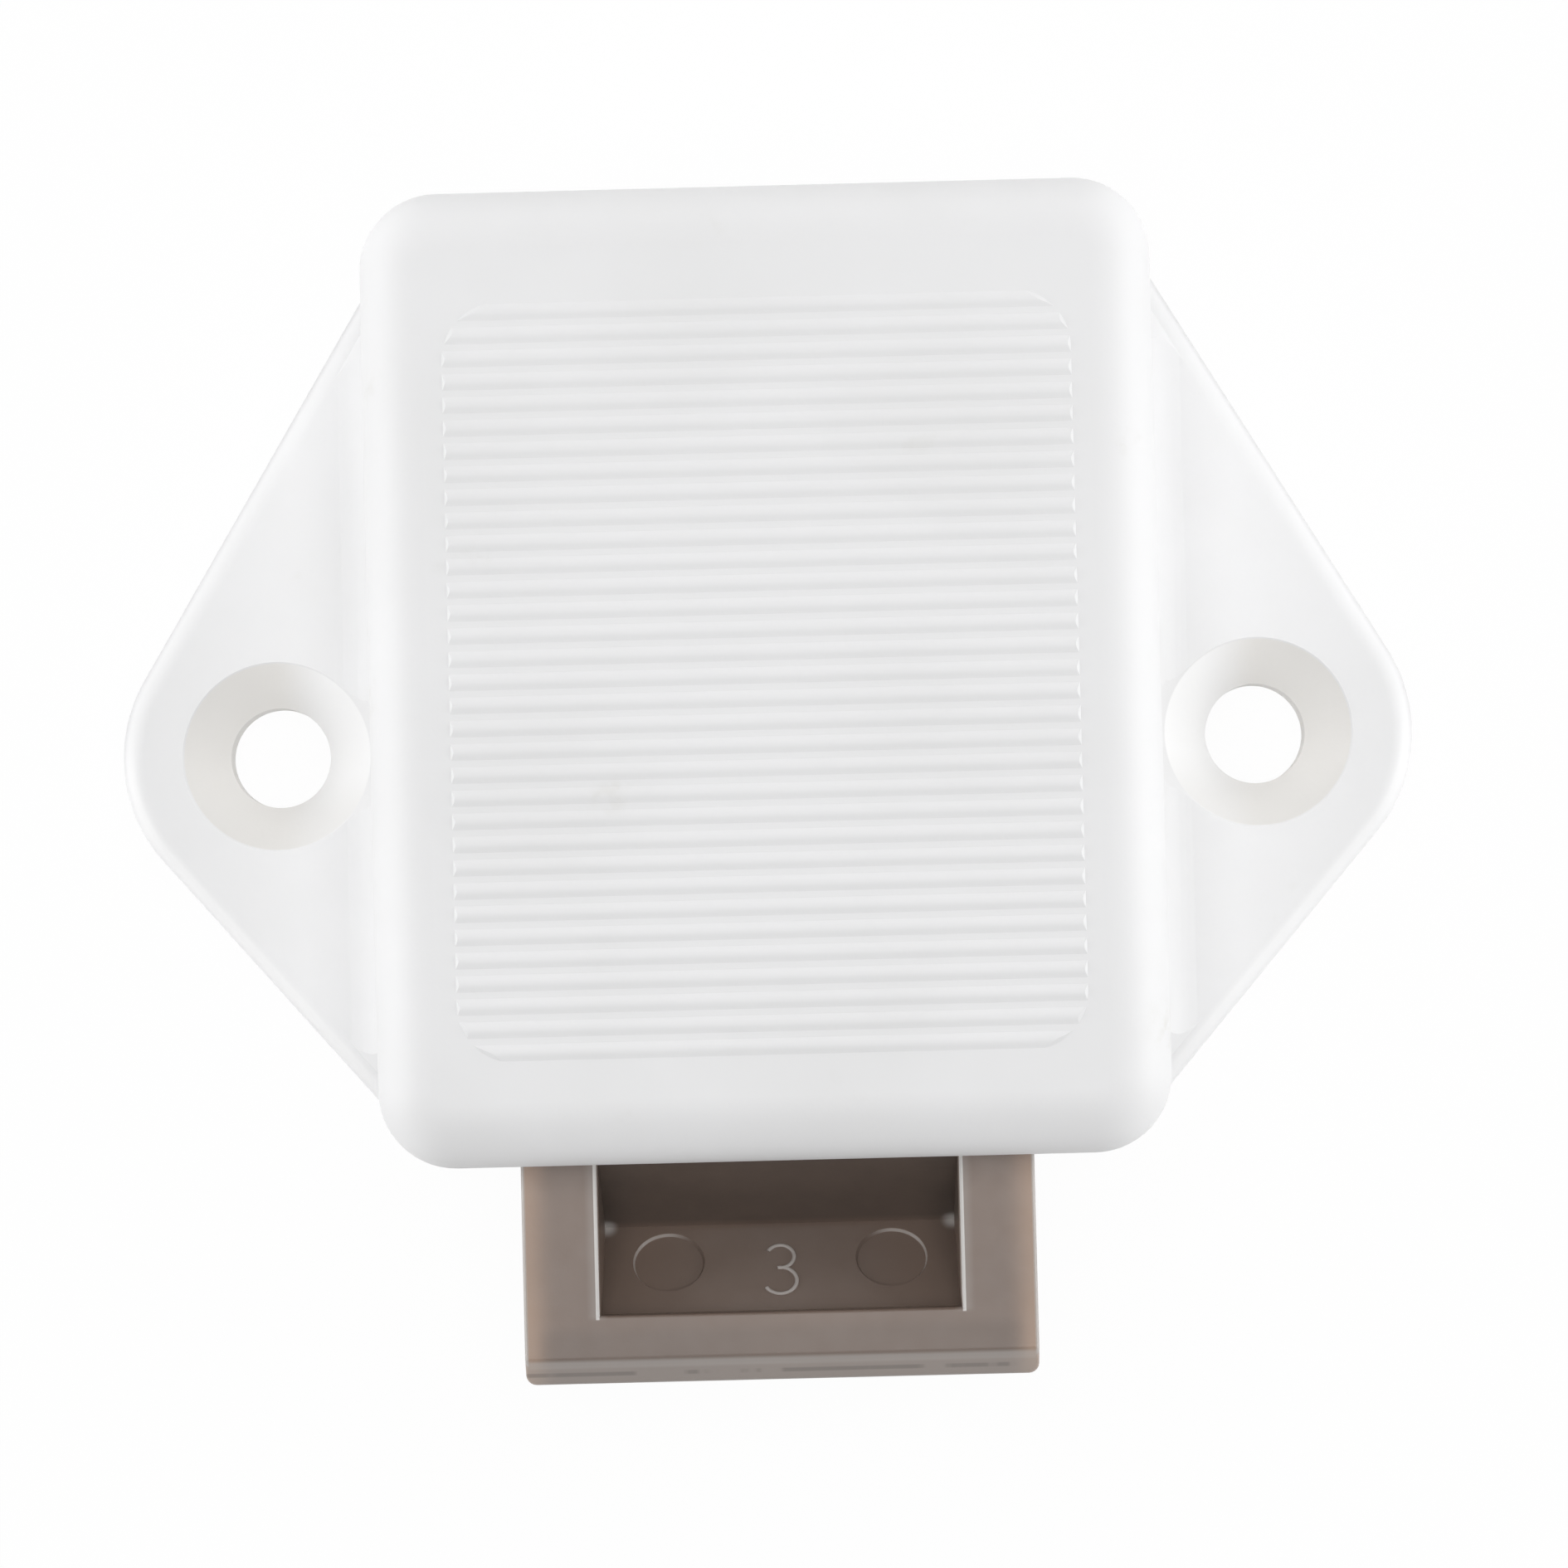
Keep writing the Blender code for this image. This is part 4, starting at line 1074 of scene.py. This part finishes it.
def settle(piece, material, body, node):
    """Give a piece its finish, the body it rides on and the CAD node it stands for."""
    piece.data.materials.clear()
    piece.data.materials.append(material)
    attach(piece, body)
    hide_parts(node)
    print(piece.name, "stands for", node, "on", body)


settle(case, white_plastic, "case", "housing")
settle(plate, white_plastic, "case", "base_plate")
settle(tongue, brown_plastic, "slide", "tongue")
for number, screw in zip(SCREW_NUMBERS, screws):
    settle(screw, metals["screw_steel"], "case", f"base_screw_{number}")
travel = next(joint for joint in frame["joints"] if joint["name"] == "tongue_slide")["range_m"][1]
for node, coil in springs.items():
    settle(coil, metals["spring_steel"], "case", node)
    length = SPRING_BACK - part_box(node)[0].y
    1 - travel / length
    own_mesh(coil)
for node in ("cam_follower", "follower_leaf_spring"):
    wire = frame["nodes"][node]
    wire.data.materials.clear()
    wire.data.materials.append(metals["spring_steel"])

# %% [markdown]
# ## Floor and light
# The photograph is a cut-out on plain white. A pale floor that the camera sees as almost pure white keeps a
# faint shadow. The world is white to the camera in the same way, and dim as a light. A wide lamp above, one
# beyond the back and two close at the sides give the cover its bright sides and its darker front edge, and
# a faint one in front lights the nose.

# %% Pale floor
FLOOR_SIZE, FLOOR_DROP, FLOOR_WHITE = 2.0, 0.02 * MM, 0.96
FLOOR_GREY = (0.9, 0.9, 0.9, 1)


def seen_rays(tree):
    """1 for rays from the camera, reflected or let through, and 0 for those that light the object."""
    path = tree.nodes.new("ShaderNodeLightPath")
    seen = Value(tree, path.outputs["Is Camera Ray"])
    for ray in ("Is Glossy Ray", "Is Transmission Ray"):
        seen = seen.math("MAXIMUM", seen, Value(tree, path.outputs[ray]))
    return seen


bpy.ops.object.select_all(action="DESELECT")
bpy.ops.mesh.primitive_plane_add(size=FLOOR_SIZE, location=(0, 0, -FLOOR_DROP))
floor = bpy.context.object
floor.name = "floor"
pale_floor, shader, place = new_finish("pale_floor", base_color=FLOOR_GREY, roughness=0.8)
tree = pale_floor.node_tree
glow = place.node("ShaderNodeEmission", None, {"Color": (1, 1, 1, 1), "Strength": 1.0})
lit = Value(tree, shader.outputs[0])
mixed = place.node("ShaderNodeMixShader", None, {0: seen_rays(tree) * FLOOR_WHITE, 1: lit, 2: glow})
tree.links.new(mixed.socket, tree.nodes["Material Output"].inputs["Surface"])
floor.data.materials.append(pale_floor)
describe(pale_floor)

# %% World and lamps
WORLD_LIGHT = 0.168
AIM = Vector((0, 2, 8)) * MM
# The place and the size of each lamp in millimetres, and its power in watts.
LAMPS = {
    "above": ((0, 0, 400), 300, 0.765),
    "beyond": ((0, 225, 110), 160, 0.19),
    "left": ((-218, -10, 52), 140, 0.273),
    "right": ((218, -10, 52), 140, 0.294),
    "front": ((0, -220, 42), 110, 0.045),
}

world = bpy.data.worlds.new("studio")
bpy.context.scene.world = world
world.use_nodes = True
tree = world.node_tree
background = tree.nodes["Background"]
background.inputs["Color"].default_value = (1, 1, 1, 1)
strength = seen_rays(tree) * (1 - WORLD_LIGHT) + WORLD_LIGHT
tree.links.new(strength.socket, background.inputs["Strength"])
for name, (spot, size, power) in LAMPS.items():
    spot = Vector(spot) * MM
    turn = (AIM - spot).to_track_quat("-Z", "Y").to_euler()
    bpy.ops.object.light_add(type="AREA", location=spot, rotation=turn)
    lamp = bpy.context.object
    lamp.name = "lamp_" + name
    lamp.data.size = size * MM
    lamp.data.energy = power
bpy.context.scene.view_settings.view_transform = "Standard"
print("lamps:", list(LAMPS))
